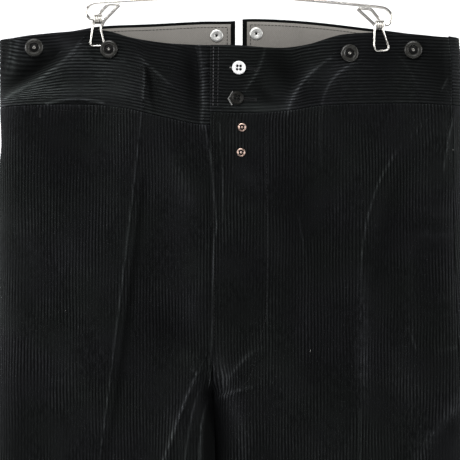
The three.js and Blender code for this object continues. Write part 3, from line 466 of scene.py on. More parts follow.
# The hanger, seen from the front: x, z.
HANGER_WIRE, CLIP_WIRE, SPRING_WIRE, HOOK_INSIDE = 1.5, 1.0, 0.85, 18.0
HOOK_TURN = (-0.28, 1.12)  # half turns round the hook
HOOK_STEPS, WIRE_SIDES = 48, 16
JAW_BEND = 2.5
NECK = [(0, -83), (0, -48), (7, -40)]
NECK_BEND = 4.0
BAR = [
    (-134.8, -108.5), (-150, -108.5), (-153.5, -104), (-153, -97), (-147, -92), (0, -83),
    (138, -96), (147, -97.5), (152.5, -103), (152.5, -110), (149.5, -114.3), (134.5, -114.3),
]
BAR_BEND = 3.5
SPRING = {"outside": 5.2, "half_length": 5.2, "turns": 5}
CLIP_AIR = 0.35  # between a jaw and the cloth
CLIP_OVER, CLIP_OVER_RUN = 5.0, 7.0  # a jaw leaves the cloth this far below its edge, over this height
# Each jaw is one wire: handle, inner leg, lower edge and outer leg.
CLIPS = {
    "right": {
        "x": -141.3,
        "spring_z": -108.5,
        "jaw": [
            (-141.5, -104), (-131.5, -93.5), (-119.5, -93.5), (-135.6, -110), (-139.1, -117.8),
            (-135.4, -133), (-136.5, -135.6), (-148.4, -135.6), (-149.1, -132.6), (-146, -110),
        ],
    },
    "left": {
        "x": 141.0,
        "spring_z": -114.3,
        "jaw": [
            (141, -109.8), (132, -98.5), (117.5, -97.5), (135.5, -114), (134.4, -135.7), (136.2, -140.8),
            (148.4, -140.2), (149.4, -137), (143.4, -120), (144.5, -115.5),
        ],
    },
}
# Waves: (height, x length, z length, phase) of each. The cloth is slowly uneven, and the wales waver.
CLOTH_WAVES = ((0.55, 37.0, 91.0, 0.4), (0.4, -21.0, 57.0, 1.9), (0.28, 13.0, 33.0, 3.1))
WALE_WAVES = ((0.4, 17.0, 41.0, 0.7), (0.25, 7.3, -13.0, 2.1))

# One wale: places across the pitch and heights there, as shares.
WALE_PLACES = (0.0, 0.2, 0.5, 0.8)
WALE_HEIGHTS = (-1.0, 0.0, 0.6, 0.0)
WALE_UNEVENNESS = 0.16  # spread of the heights from wale to wale
WALE_KEEP = 0.05  # a wale's column stays at least this far inside the edge
EDGE_WALE = 0.3  # shade of the outer side's edge, from groove at 0 to crest at 1
# The plain inner side: its colour between groove and crest, and a little less painted light than flat cloth.
INNER_WALE, INNER_PAINTED_LIGHT = 0.35, 0.4
INNER_COLUMNS = 28  # columns of a shell's plain inner side
EDGE_ROLL = 0.3  # share of a shell's thickness by which each side rolls over at its edges


# ---- the hanging tube of cloth ------------------------------------------------------------------


def ease(t):
    t = np.clip(t, 0, 1)
    return t * t * (3 - 2 * t)


def quarter_round(t):
    return np.sqrt(np.maximum(0, 1 - (1 - np.clip(t, 0, 1)) ** 2))


def read(columns, name, at):
    """A smooth curve through one column of a table."""
    keys, values = next(iter(columns.values())), columns[name]
    slopes = np.empty_like(values)
    slopes[1:-1] = (values[2:] - values[:-2]) / (keys[2:] - keys[:-2])
    slopes[0] = (values[1] - values[0]) / (keys[1] - keys[0])
    slopes[-1] = (values[-1] - values[-2]) / (keys[-1] - keys[-2])
    at = np.clip(at, keys[0], keys[-1])
    i = np.clip(np.searchsorted(keys, at, side="right") - 1, 0, len(keys) - 2)
    span = keys[i + 1] - keys[i]
    t = (at - keys[i]) / span
    return (
        (2 * t**3 - 3 * t**2 + 1) * values[i]
        + (t**3 - 2 * t**2 + t) * span * slopes[i]
        + (3 * t**2 - 2 * t**3) * values[i + 1]
        + (t**3 - t**2) * span * slopes[i + 1]
    )


def outwards(side):
    return -1 if side == "right" else 1


def fore(face):
    return -1 if face == "front" else 1


def other(face):
    return "back" if face == "front" else "front"


def outer_edge(side, z):
    return read(OUTLINE, f"{side}_out", z)


def inner_edge(side, z):
    return read(OUTLINE, "parting", z) + outwards(side) * read(OUTLINE, "apart", z) / 2


def waves(rows, x, z):
    return sum(height * np.sin(x / along_x + z / along_z + phase) for height, along_x, along_z, phase in rows)


def spot(x, z, at_x, at_z, reach_x, reach_z):
    """A soft spot: 1 at its middle and about a third at its reach."""
    return np.exp(-(((x - at_x) / reach_x) ** 2) - ((z - at_z) / reach_z) ** 2)


FOLD_STEPS = 14
FOLD_REACH = 3  # widths, past which a fold isn't felt
FOLD_START, FOLD_RUN, FOLD_FULLNESS = 0.12, 0.82, 0.7  # how a fold swells and fades along its length


def fold_lift(fold, x, z):
    """How far one fold lifts the cloth at x, z."""
    t = np.linspace(0, 1, FOLD_STEPS + 1)[:, None]
    start, bend, end = (np.array(point) for point in (fold.start, fold.bend, fold.end))
    path = (1 - t) ** 2 * start + 2 * t * (1 - t) * bend + t * t * end
    reach = FOLD_REACH * max(fold.side_a, fold.side_b)
    (low_x, low_z), (high_x, high_z) = path.min(0) - reach, path.max(0) + reach
    near = (x > low_x) & (x < high_x) & (z > low_z) & (z < high_z)
    lift = np.zeros_like(x)
    px, pz = x[near], z[near]
    best = np.full(px.shape, np.inf)
    side, along = np.zeros_like(px), np.zeros_like(px)
    for i in range(FOLD_STEPS):
        (ax, az), (dx, dz) = path[i], path[i + 1] - path[i]
        share = np.clip(((px - ax) * dx + (pz - az) * dz) / (dx * dx + dz * dz), 0, 1)
        ox, oz = px - ax - share * dx, pz - az - share * dz
        distance = np.hypot(ox, oz)
        closer = distance < best
        best = np.where(closer, distance, best)
        side = np.where(closer, dx * oz - dz * ox, side)
        along = np.where(closer, (i + share) / FOLD_STEPS, along)
    width = np.where(side > 0, fold.side_a, fold.side_b)
    ends = np.sin(np.pi * (FOLD_START + FOLD_RUN * along)) ** FOLD_FULLNESS
    lift[near] = fold.lift * ends * np.exp(-((best / width) ** 2))
    return lift


def roundness(side, x, z):
    """Share of the tube's full depth: it falls away round the outer sides and the inner legs."""
    edge = outwards(side) * (outer_edge(side, z) - x) / EDGE_ROUND
    from_inner = outwards(side) * (x - inner_edge(side, z)) / INSEAM_ROUND
    above = (z - CROTCH_Z) / CROTCH_RISE
    inner = np.where(above > 0, np.hypot(from_inner, above), from_inner)
    return quarter_round(edge) * quarter_round(inner)


def depth_at(face, x, z):
    felt = 1 - ease((PINCH_TOP_Z - z) / PINCH_FADE)
    near = sum(np.exp(-(((x - c) / PINCH_HALF_WIDTH) ** 2)) for c in CLIP_X.values())
    share = np.minimum(1, felt * near)
    return read(OUTLINE, face, z) * (1 - share) + PINCH_DEPTH[face] * share


def middle_at(side, x, z):
    """The middle plane steps forward or back at the inner legs, so that one leg hangs before the other."""
    below = ease((LEG_STAGGER_Z - z) / LEG_STAGGER_RUN)
    near = np.exp(-((np.abs(x - inner_edge(side, z)) / LEG_STAGGER_REACH) ** 2))
    return outwards(side) * LEG_STAGGER * below * near


def surface_y(face, side, x, z, lift=None):
    """y of the cloth's outer side."""
    depth = depth_at(face, x, z) + sum(fold_lift(fold, x, z) for fold in FOLDS[face] + CREASES[face])
    depth = depth + waves(CLOTH_WAVES, x, z)
    if lift is not None:
        depth = depth + lift(x, z)
    return middle_at(side, x, z) + fore(face) * np.maximum(GAP / 2, depth * roundness(side, x, z))


def fly_over(x, z):
    return 1 - ease((x - read(OUTLINE, "parting", z) - FLY_WIDTH - FLY_LAND) / FLY_FADE)


def panel_fly_lift(x, z):
    return FLY_LIFT["panel"] * fly_over(x, z) * ease((z - UNDERLAP_END_Z + FLY_LIFT_END) / FLY_LIFT_RUN)


def band_fly_lift(x, z):
    return FLY_LIFT["band"] * fly_over(x, z)


LIFTS = {"none": None, "band": band_fly_lift, "panel": panel_fly_lift}


def points_across(face, side, across, z, lift=None):
    """Points at distances across from the tube's outer edge; a negative one lies round on the other face."""
    x = outer_edge(side, z) - outwards(side) * np.abs(across)
    y = np.where(across < 0, surface_y(other(face), side, x, z), surface_y(face, side, x, z, lift))
    return np.stack([x, y, z], -1)


def normals_of(points, face):
    """Outward unit normals of a grid of points."""
    normals = np.cross(np.gradient(points, axis=0), np.gradient(points, axis=1))
    normals /= np.linalg.norm(normals, axis=-1, keepdims=True) + 1e-12
    middle = normals[normals.shape[0] // 2, :, 1].mean() + normals[:, normals.shape[1] // 2, 1].mean()
    return normals * (1 if middle * fore(face) > 0 else -1)


def cloth_at(face, side, x, z, lift=None, off=0.0):
    """Points on the cloth and the outward normals there, for what is sewn or fastened to it."""
    x, z = np.atleast_1d(np.asarray(x, float)), np.atleast_1d(np.asarray(z, float))
    step = 0.5
    y = surface_y(face, side, x, z, lift)
    across, up = surface_y(face, side, x + step, z, lift) - y, surface_y(face, side, x, z + step, lift) - y
    normals = -fore(face) * np.stack([across, np.full_like(y, -step), up], -1)
    normals /= np.linalg.norm(normals, axis=-1, keepdims=True)
    return np.stack([x, y, z], -1) + normals * off, normals


# ---- shells of cloth ----------------------------------------------------------------------------


def distance_across(points):
    """How far each point of a grid lies from the first of its row, along the cloth."""
    steps = np.linalg.norm(np.diff(points, axis=1), axis=-1)
    return np.concatenate([np.zeros((len(points), 1)), np.cumsum(steps, axis=1)], axis=1)


def grid_faces(index):
    """Faces of a grid of vertex numbers, where a row may repeat its first or last number."""
    a, b, c, d = index[:-1, :-1], index[:-1, 1:], index[1:, 1:], index[1:, :-1]
    flat_ab, flat_cd = a == b, c == d
    whole = ~flat_ab & ~flat_cd
    quads = np.stack([a[whole], b[whole], c[whole], d[whole]], -1).tolist()
    lower, upper = flat_ab & ~flat_cd, flat_cd & ~flat_ab
    corners = [np.stack([a[lower], c[lower], d[lower]], -1), np.stack([a[upper], b[upper], c[upper]], -1)]
    return quads + np.concatenate(corners).tolist()


def zipped(first, first_at, second, second_at):
    """Triangles between two chains of vertices with ascending places along them."""
    faces, i, j = [], 0, 0
    while i < len(first) - 1 or j < len(second) - 1:
        if j == len(second) - 1 or (i < len(first) - 1 and first_at[i + 1] <= second_at[j + 1]):
            faces.append((first[i], first[i + 1], second[j]))
            i += 1
        else:
            faces.append((first[i], second[j + 1], second[j]))
            j += 1
    return faces


def rolled(distance, depth):
    """How far a skin turns in towards its edge, so that the cloth's edge is round."""
    return depth * (1 - np.sqrt(1 - (1 - np.clip(distance / depth, 0, 1)) ** 2))


def outward_faces(vertices, faces):
    """The faces, turned round if they point inwards."""
    corners = vertices[np.array([face[:3] for face in faces])]
    volume = np.einsum("ij,ij->i", corners[:, 0], np.cross(corners[:, 1], corners[:, 2])).sum()
    return faces if volume > 0 else [face[::-1] for face in faces]


Shell = namedtuple("Shell", "vertices faces weave wale nap")
BEND_LIGHT_GAIN, BEND_LIGHT_START = 2.0, 0.08  # how much painted light a bend in the cloth gets, and the least bend that gets any, per mm
HOLLOW_SHADE_GAIN = 0.35  # the painted shade in a hollow is weaker than the painted highlight on a crest
PAINTED_LIGHT_RANGE = (-0.3, 1.2)
BEND_LIGHT_SIDEWAYS, BEND_LIGHT_FACING = 0.3, 0.4  # cloth that faces sideways gets no painted light from its bend, and this much more gets all of it
FLAT_PATCHES = ((34.0, 15.0), (15.0, 9.0), (23.0, 31.0))  # half wavelengths down and across
FLATTENED = {"leg": 0.75, "band": 0.3}
SEWN_FADE = 2.2  # the wales are pressed flat this close to an edge
DRAG_FADE = 18.0  # and held straight this close to it
EDGE_HIGHLIGHT = {"leg": 0.06, "band": 0.32}  # painted highlight along an edge's pile
EDGE_HIGHLIGHT_REACH = 1.7  # and how far in
FLAT_MASK = 0.64  # shade of pile that lies flat, between groove and crest


def painted_fold_light(points, normals, face):
    """Painted light: a highlight on a crest and shade in a hollow, with 0.5 where it is flat."""
    bend = np.zeros(points.shape[:2])
    for axis in (0, 1):
        turn, step = np.gradient(normals, axis=axis), np.gradient(points, axis=axis)
        bend += (turn * step).sum(-1) / ((step**2).sum(-1) + 1e-9)
    bend = np.sign(bend) * np.maximum(0, np.abs(bend) - BEND_LIGHT_START)
    bend = np.where(bend < 0, HOLLOW_SHADE_GAIN * bend, bend)
    facing = np.clip((np.abs(normals[:, :, 1]) - BEND_LIGHT_SIDEWAYS) / BEND_LIGHT_FACING, 0, 1)
    x, z = points[:, :, 0], points[:, :, 2]
    # plus the listed strokes of painted light and shade
    strokes_and_painted_light = sum(fold_lift(fold, x, z) for fold in PAINTED_STROKES[face])
    return np.clip(0.5 + np.clip(BEND_LIGHT_GAIN * bend, -0.5, 0.5) * facing + strokes_and_painted_light, *PAINTED_LIGHT_RANGE)


def pressed_flat(part, points):
    """Share by which the wales are flattened, in slow patches of their own."""
    x, z = points[:, :, 0], points[:, :, 2]
    patch, clear = 0.0, 0.0
    for turn, (long, short) in enumerate(FLAT_PATCHES):
        down, along = z / long - 0.5 * x / short + 1.3 * turn, x / short + 0.4 * z / long + 2.1 * turn
        patch = patch + np.sin(along) * np.sin(down)
    for place in CRISP:
        clear = clear + spot(x, z, *place)
    return FLATTENED[part] * ease(0.5 + 0.75 * patch) * np.maximum(0, 1 - clear)


def dragged(part, face, side, points):
    """How far the wales are shifted across at each point, with a slow waver of their own."""
    x, z = points[:, :, 0], points[:, :, 2]
    shift = waves(WALE_WAVES, x, z)
    turn = 1 if part == "band" or side == "left" else -1
    for kind, on, *place, amount in DRAGGED:
        if (kind, on) == (part, face):
            shift = shift + turn * amount * spot(x, z, *place)
    across = distance_across(points)
    from_edge = np.minimum(across, across[:, -1:] - across)
    return shift * ease(from_edge / DRAG_FADE)


Pile = namedtuple("Pile", "drag nap flat edge_rub tuck")


def ribbed_shell(points, normals, zero, thickness, pitch, relief, seed, twist=0.0, pile=None):
    """A closed shell with wales along the grid's first axis.

    zero is the place across, for each station, that the wales are counted from. The pile tells, at each
    point, how far they are dragged aside, the painted light and shade that they take and how flat they lie,
    and then the painted highlight along the edges and the length at the first station that is turned under.
    The outer side has columns on each wale's groove, shoulders and crest; the inner side is plain.
    """
    if pile is None:
        pile = Pile(0.0, np.full(points.shape[:2], 0.5), np.zeros(points.shape[:2]), 0.0, 0.0)
    across = distance_across(points) - zero[:, None] + pile.drag
    run = np.concatenate([[0], np.cumsum(np.linalg.norm(np.diff(points.mean(1), axis=0), axis=-1))])
    from_end = np.minimum(run, run[-1] - run)
    pressed = ease((np.minimum(run - pile.tuck, run[-1] - run)) / SEWN_FADE)
    low, high = across[:, 0], across[:, -1]

    wales = np.arange(math.floor(low.min() / pitch), math.ceil(high.max() / pitch) + 1)
    columns = ((wales[:, None] + np.array(WALE_PLACES)) * pitch).ravel()
    random = np.random.default_rng(seed)
    uneven = 1 + WALE_UNEVENNESS * random.standard_normal(len(wales))
    heights = (uneven[:, None] * np.array(WALE_HEIGHTS) * relief).ravel()
    masks = np.tile((np.array(WALE_HEIGHTS) - min(WALE_HEIGHTS)) / np.ptp(WALE_HEIGHTS), len(wales))

    first = np.searchsorted(columns, low + WALE_KEEP, side="left") - 1
    last = np.searchsorted(columns, high - WALE_KEEP, side="right")
    vertices, weave, wale, nap = [], [], [], []
    index = np.zeros((len(points), len(columns)), int)
    chains, count, roll = [], 0, thickness * EDGE_ROLL

    def lay(station, places, offset, mask, painted_row):
        """Add a row of vertices at those places and return their numbers."""
        nonlocal count
        samples = [np.interp(places, across[station], points[station, :, k]) for k in range(3)]
        facing = [np.interp(places, across[station], normals[station, :, k]) for k in range(3)]
        vertices.append(np.stack(samples, -1) + np.stack(facing, -1) * offset[:, None])
        weave.append(np.stack([places, np.full_like(places, run[station] + twist)], -1))
        wale.append(mask)
        nap.append(painted_row)
        count += len(places)
        return np.arange(count - len(places), count)

    def edge_at(station, places):
        """How far the places are from the sides, and how far the rounded edge turns in there."""
        from_side = np.minimum(places - low[station], high[station] - places)
        return from_side, rolled(np.minimum(from_side, from_end[station]), roll)

    for station in range(len(points)):
        i, j = first[station], last[station]
        places = np.concatenate([[low[station]], columns[i + 1 : j], [high[station]]])
        lift = np.concatenate([[0], heights[i + 1 : j], [0]])
        mask = np.concatenate([[EDGE_WALE], masks[i + 1 : j], [EDGE_WALE]])
        from_side, turned = edge_at(station, places)
        lift = lift * pressed[station] * ease(0.25 + from_side / SEWN_FADE)
        flat = np.interp(places, across[station], pile.flat[station])
        lift = lift * (1 - flat)
        mask = mask + (FLAT_MASK - mask) * flat
        # Painted shade on the allowance that turns in under the waistband, and a painted highlight along the
        # edges.
        hidden = ease(0.15 + run[station] / (pile.tuck + 0.1)) if pile.tuck else 1.0
        from_edge = np.minimum(from_side, abs(run[station] - pile.tuck))
        edge_light = pile.edge_rub * np.exp(-((from_edge / EDGE_HIGHLIGHT_REACH) ** 2))
        painted_row = (np.interp(places, across[station], pile.nap[station]) + edge_light) * hidden
        numbers = lay(station, places, lift - turned, mask, painted_row)
        index[station] = numbers[np.clip(np.arange(len(columns)) - i, 0, len(numbers) - 1)]
        chains.append((numbers, places))

    inner = np.zeros((len(points), INNER_COLUMNS), int)
    inner_places = []
    for station in range(len(points)):
        places = np.linspace(low[station], high[station], INNER_COLUMNS)
        depth = edge_at(station, places)[1] - thickness
        plain = [np.full_like(places, value) for value in (INNER_WALE, INNER_PAINTED_LIGHT)]
        inner[station] = lay(station, places, depth, *plain)
        inner_places.append(places)

    faces = grid_faces(index) + [face[::-1] for face in grid_faces(inner)]
    for station in range(len(points) - 1):
        start, end = chains[station][0], chains[station + 1][0]
        faces.append((start[0], end[0], inner[station + 1, 0], inner[station, 0]))
        faces.append((start[-1], inner[station, -1], inner[station + 1, -1], end[-1]))
    for station, turn in ((0, 1), (len(points) - 1, -1)):
        numbers, places = chains[station]
        faces += [face[::-turn] for face in zipped(numbers, places, inner[station], inner_places[station])]
    vertices = np.concatenate(vertices)
    faces = outward_faces(vertices, faces)
    return Shell(vertices, faces, np.concatenate(weave), np.concatenate(wale), np.concatenate(nap))


def make_piece(name, vertices, faces, material, replaces=()):
    """A mesh object in metres that rides on the frame and stands for the named nodes."""
    mesh = bpy.data.meshes.new(name)
    mesh.from_pydata((np.asarray(vertices) * MM).tolist(), [], [list(map(int, face)) for face in faces])
    mesh.polygons.foreach_set("use_smooth", [True] * len(mesh.polygons))
    mesh.materials.append(bpy.data.materials[material])
    piece = bpy.data.objects.new(name, mesh)
    bpy.context.scene.collection.objects.link(piece)
    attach(piece, "root")
    if replaces:
        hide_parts(*replaces)
    return piece


def make_cloth(name, shell, material, replaces):
    """A shell as a cloth piece, with its weave coordinates in metres and its wales as an attribute."""
    piece = make_piece(name, shell.vertices, shell.faces, material, replaces)
    mesh = piece.data
    corners = np.zeros(len(mesh.loops), int)
    mesh.loops.foreach_get("vertex_index", corners)
    weave = mesh.uv_layers.new(name="weave")
    weave.data.foreach_set("uv", (shell.weave[corners] * MM).ravel())
    # The painted light on crests and in hollows goes on as a second attribute.
    for attribute, values in (("wale", shell.wale), ("nap", shell.nap)):
        mesh.attributes.new(attribute, "FLOAT", "POINT").data.foreach_set("value", values)


# ---- turned pieces, wires and stitches ----------------------------------------------------------


class Solid:
    """Vertices and faces of one or more closed bodies."""

    def __init__(self):
        self.vertices, self.faces = [], []

    def add(self, vertices, faces):
        count = len(self.vertices)
        self.vertices += [tuple(vertex) for vertex in vertices]
        self.faces += [tuple(number + count for number in face) for face in faces]

    def make(self, name, material, slot, replaces=()):
        return make_piece(name, self.vertices, self.faces, material, replaces)


def softened(path, bend, steps=4):
    """A polyline with each corner replaced by a short curve."""
    path = [np.array(point, float) for point in path]
    curve = [path[0]]
    for before, corner, after in zip(path, path[1:], path[2:]):
        ways = [before - corner, after - corner]
        start, end = (corner + way * min(bend / np.linalg.norm(way), 0.45) for way in ways)
        for t in np.linspace(0, 1, steps + 1):
            curve.append((1 - t) ** 2 * start + 2 * t * (1 - t) * corner + t * t * end)
    return np.array(curve + [path[-1]])


def ring_faces(rings, sides):
    """Faces between rings of vertices that follow one another."""
    faces = []
    for i in range(rings - 1):
        for k in range(sides):
            n = (k + 1) % sides
            faces.append((i * sides + k, i * sides + n, (i + 1) * sides + n, (i + 1) * sides + k))
    return faces


TURNED_BEVEL = 0.12


def lathe(profile, segments=48):
    """A turned body from (radius, height) pairs, closed on its axis at both ends."""
    profile = softened(profile, TURNED_BEVEL, 2)
    rings = profile[profile[:, 0] > 1e-6]
    angles = np.linspace(0, 2 * math.pi, segments, endpoint=False)
    vertices = [(r * math.cos(a), r * math.sin(a), h) for r, h in rings for a in angles]
    faces = ring_faces(len(rings), segments)
    low, high = len(vertices), len(vertices) + 1
    vertices += [(0, 0, profile[0, 1]), (0, 0, profile[-1, 1])]
    last = (len(rings) - 1) * segments
    for k in range(segments):
        n = (k + 1) % segments
        faces += [(low, n, k), (high, last + k, last + n)]
    vertices = np.array(vertices)
    return vertices, outward_faces(vertices, faces)


def stood(vertices, at, normal):
    """Vertices turned so that their Z axis lies along the normal, and moved to the point."""
    turn = np.array(Vector((0, 0, 1)).rotation_difference(Vector(normal)).to_matrix())
    return np.asarray(vertices) @ turn.T + at


def make_turned(name, profile, at, normal, material, slot, replaces=()):
    """A turned piece that stands on the cloth."""
    vertices, faces = lathe(profile)
    return make_piece(name, stood(vertices, at, normal), faces, material, replaces)


def tube(path, radius, sides=12):
    """A round wire along a path, with closed ends."""
    path = np.asarray(path, float)
    tangents = np.gradient(path, axis=0)
    tangents /= np.linalg.norm(tangents, axis=1, keepdims=True)
    across = np.array([0.0, 1.0, 0.0]) if abs(tangents[0, 1]) < 0.9 else np.array([1.0, 0.0, 0.0])
    angles = np.linspace(0, 2 * math.pi, sides, endpoint=False)[:, None]
    radii = np.broadcast_to(radius, len(path))
    vertices = []
    for point, tangent, size in zip(path, tangents, radii):
        across = across - tangent * np.dot(across, tangent)
        across /= np.linalg.norm(across)
        third = np.cross(tangent, across)
        vertices.append(point + size * (np.cos(angles) * across + np.sin(angles) * third))
    vertices = np.concatenate(vertices)
    ends = [tuple(range(sides))[::-1], tuple(range(len(vertices) - sides, len(vertices)))]
    faces = ring_faces(len(path), sides) + ends
    return vertices, outward_faces(vertices, faces)


# One stitch: place along and share of the thread's thickness there, and how it bows above the cloth.
STITCH_SHAPE = np.array([(0.0, 0.35), (0.18, 0.9), (0.5, 1.0), (0.82, 0.9), (1.0, 0.35)])
STITCH_SINK, STITCH_BOW = 0.6, 1.2
STITCH_SIDES = 6
STITCH_LENGTH, STITCH_GAP = 2.6, 0.9
SATIN_PITCH, SATIN_RADIUS = 0.62, 0.33


def add_stitch(solid, start, end, normal, radius):
    """One stitch: a short thread that dips into the cloth at both ends."""
    along = STITCH_SHAPE[:, :1]
    bow = normal * (np.sin(np.pi * along) - STITCH_SINK) * radius * STITCH_BOW
    path = start + (end - start) * along + bow
    solid.add(*tube(path, radius * STITCH_SHAPE[:, 1], STITCH_SIDES))


def stitch_row(solid, face, side, path, lift=None, radius=0.36, off=0.35, bend=6.0):
    """A row of stitches along a path of x, z on the cloth."""
    path = softened(path, bend, 8) if len(path) > 2 else np.array(path, float)
    run = np.concatenate([[0], np.cumsum(np.linalg.norm(np.diff(path, axis=0), axis=1))])
    starts = np.arange(0, run[-1] - STITCH_LENGTH, STITCH_LENGTH + STITCH_GAP)
    ends = []
    for places in (starts, starts + STITCH_LENGTH):
        x, z = (np.interp(places, run, path[:, k]) for k in (0, 1))
        ends.append(cloth_at(face, side, x, z, lift, off))
    (first, normals), (second, _) = ends
    for start, end, normal in zip(first, second, normals):
        add_stitch(solid, start, end, normal, radius)


def satin_row(solid, face, side, start, end, width, lift=None, off=0.4):
    """Close stitches across a line, as on a bartack or a buttonhole's edge."""
    start, end = np.array(start, float), np.array(end, float)
    way = (end - start) / np.linalg.norm(end - start)
    cross = np.array([-way[1], way[0]]) * width / 2
    places = np.arange(0, np.linalg.norm(end - start), SATIN_PITCH)[:, None]
    middle = start + way * places
    (first, normals), (second, _) = (
        cloth_at(face, side, *(middle + hand * cross).T, lift, off) for hand in (-1, 1)
    )
    for one, two, normal in zip(first, second, normals):
        add_stitch(solid, one, two, normal, SATIN_RADIUS)


# ---- patterns -----------------------------------------------------------------------------------

EDGE_SAMPLES, MIDDLE_SAMPLES, INNER_SAMPLES = 60, 300, 60
BAND_SAMPLES, BAND_SPACING = 150, 1.2  # up the waistband, and from one station along it to the next
FINE_STEPS = (0, 0.25, 0.7, 1.4, 2.6)  # rows close to an edge
FINE_STRETCH = 4.0
BAND_END = 5.0  # where the fine rows at its end take over
LEG_BREAKS = (TOP_Z, -220, -420, -560, -700, HEM_Z)
LEG_SPACING = (1.6, 5.0, 2.8, 7.0, 10.0)
INSEAM_TURN_RUN = 60.0


def stations(breaks, spacing):
    """Rows between the breaks, each stretch at its own spacing, and closer at both ends."""
    rows = [np.array([breaks[0]])]
    for a, b, step in zip(breaks[:-1], breaks[1:], spacing):
        rows.append(np.linspace(a, b, max(1, round(abs(b - a) / step)) + 1)[1:])
    rows = np.concatenate(rows)
    way = np.sign(breaks[-1] - breaks[0])
    starts, ends = breaks[0] + way * np.array(FINE_STEPS), breaks[-1] - way * np.array(FINE_STEPS[::-1])
    inside = rows[(np.abs(rows - breaks[0]) > FINE_STRETCH) & (np.abs(rows - breaks[-1]) > FINE_STRETCH)]
    return np.concatenate([starts, inside, ends])


def seam_start(face, side):
    shows, distance = SIDE_SEAM[side]
    return distance + GAP / 2 if face == shows else -(distance - GAP / 2)


def signed_root(value):
    return math.copysign(math.sqrt(abs(value)), value)


FLY_EDGE_END, FLY_EDGE_RUN = 12.0, 10.0  # how far past the underlap the fly's edge overlaps, and its taper
SEWN_OVERLAP, SEWN_RISE, SEWN_RUN = 0.6, 26.0, 16.0  # the centre seam closes up above the crotch


def leg_end(face, side, z):
    """x where a leg panel ends: the centre seam or fly edge above the crotch, the inseam below it."""
    centre = read(CENTRE_BACK, "x", z) if face == "back" else read(OUTLINE, "parting", z)
    covered = 0
    if (face, side) == ("front", "left"):
        covered = (FLY_EDGE + GAP / 2) * ease((z - UNDERLAP_END_Z + FLY_EDGE_END) / FLY_EDGE_RUN)
    sewn = SEWN_OVERLAP * ease((CROTCH_Z + SEWN_RISE - z) / SEWN_RUN)
    return np.where(z <= CROTCH_Z, inner_edge(side, z), centre + outwards(side) * (GAP / 2 - covered - sewn))


def leg_grid(face, side):
    """Dense points over a leg panel, in rows from the waistband to the hem."""
    rows = stations(LEG_BREAKS, LEG_SPACING)[:, None]
    width = np.abs(outer_edge(side, rows) - leg_end(face, side, rows))
    start = signed_root(seam_start(face, side))
    edge = np.linspace(start, math.sqrt(EDGE_ROUND), EDGE_SAMPLES)[None, :]
    edge = np.broadcast_to(edge * np.abs(edge), (len(rows), EDGE_SAMPLES))
    share = np.linspace(0, 1, MIDDLE_SAMPLES + 1)[None, 1:]
    middle = EDGE_ROUND + share * (width - INSEAM_ROUND - EDGE_ROUND)
    u = np.linspace(1, 0, INNER_SAMPLES + 1)[None, 1:]
    turned = 1 - ease((rows - CROTCH_Z) / INSEAM_TURN_RUN)
    inner = width - INSEAM_ROUND * (u * (1 - turned) + u * u * turned)
    across = np.concatenate([edge, middle, inner], axis=1)

    x = outer_edge(side, rows) - outwards(side) * np.abs(across)
    level = ease(1 - (TOP_Z - rows) / SEAM_FADE)
    height = rows + (read(BAND_SEAM[face, side], "z", x) - WAIST_GAP / 2 - TOP_Z) * level
    wanted = np.abs(outer_edge(side, height) - leg_end(face, side, height))
    across = across + (wanted - width) * np.maximum(0, across) / width
    lift = panel_fly_lift if (face, side) == ("front", "left") else None
    return tucked(points_across(face, side, across, height, lift), face)


# Seam allowance above a leg's first row: height, and depth behind the waistband's outer side.
ALLOWANCE = ((4.4, 3.9), (2.2, 3.9), (0.9, 3.7), (0.45, 2.9), (0.2, 1.3))
TUCK_LENGTH = 7.4  # measured along it


def tucked(points, face):
    """The grid with its seam allowance, which turns in under the waistband."""
    inwards = -normals_of(points, face)[0]
    rows = [points[0] + inwards * depth + np.array([0, 0, up]) for up, depth in ALLOWANCE]
    return np.concatenate([np.stack(rows), points])


def band_grid(face, side, end_x, drop=0.0, above=WAIST_GAP / 2, start=None, lift=None):
    """Dense points over a part of the waistband: stations along it, samples from its seam up to its edge."""
    width = abs(outer_edge(side, SEAM_Z) - end_x)
    roots = np.linspace(signed_root(seam_start(face, side)), math.sqrt(EDGE_ROUND), EDGE_SAMPLES)
    turn = roots * np.abs(roots) if start is None else np.array([start])
    flat = np.arange(turn[-1], width - BAND_END, BAND_SPACING)[1:]
    across = np.concatenate([turn, flat, width - np.array(FINE_STEPS[::-1])])
    x = outer_edge(side, SEAM_Z) - outwards(side) * np.abs(across)
    rise = np.linspace(0, 1, BAND_SAMPLES)[None, :]
    low = read(BAND_SEAM[face, side], "z", x)[:, None] + above
    high = read(BAND_TOP[face], "z", x)[:, None] - drop
    z = low + (high - low) * rise
    wanted = np.abs(outer_edge(side, z) - end_x)
    across = across[:, None] + (wanted - width) * np.maximum(0, across[:, None]) / width
    return points_across(face, side, across, z, lift)


def zero_at(points, x):
    """Distance across, at each station, where the cloth passes x."""
    across = distance_across(points)
    place = points[:, :, 0]
    rows, nearest = np.arange(len(points)), np.abs(place - x).argmin(axis=1)
    before, after = nearest - 1, nearest + 1
    slope = (across[rows, after] - across[rows, before]) / (place[rows, after] - place[rows, before])
    return across[rows, nearest] + (x - place[rows, nearest]) * slope


# ---- shaders ------------------------------------------------------------------------------------


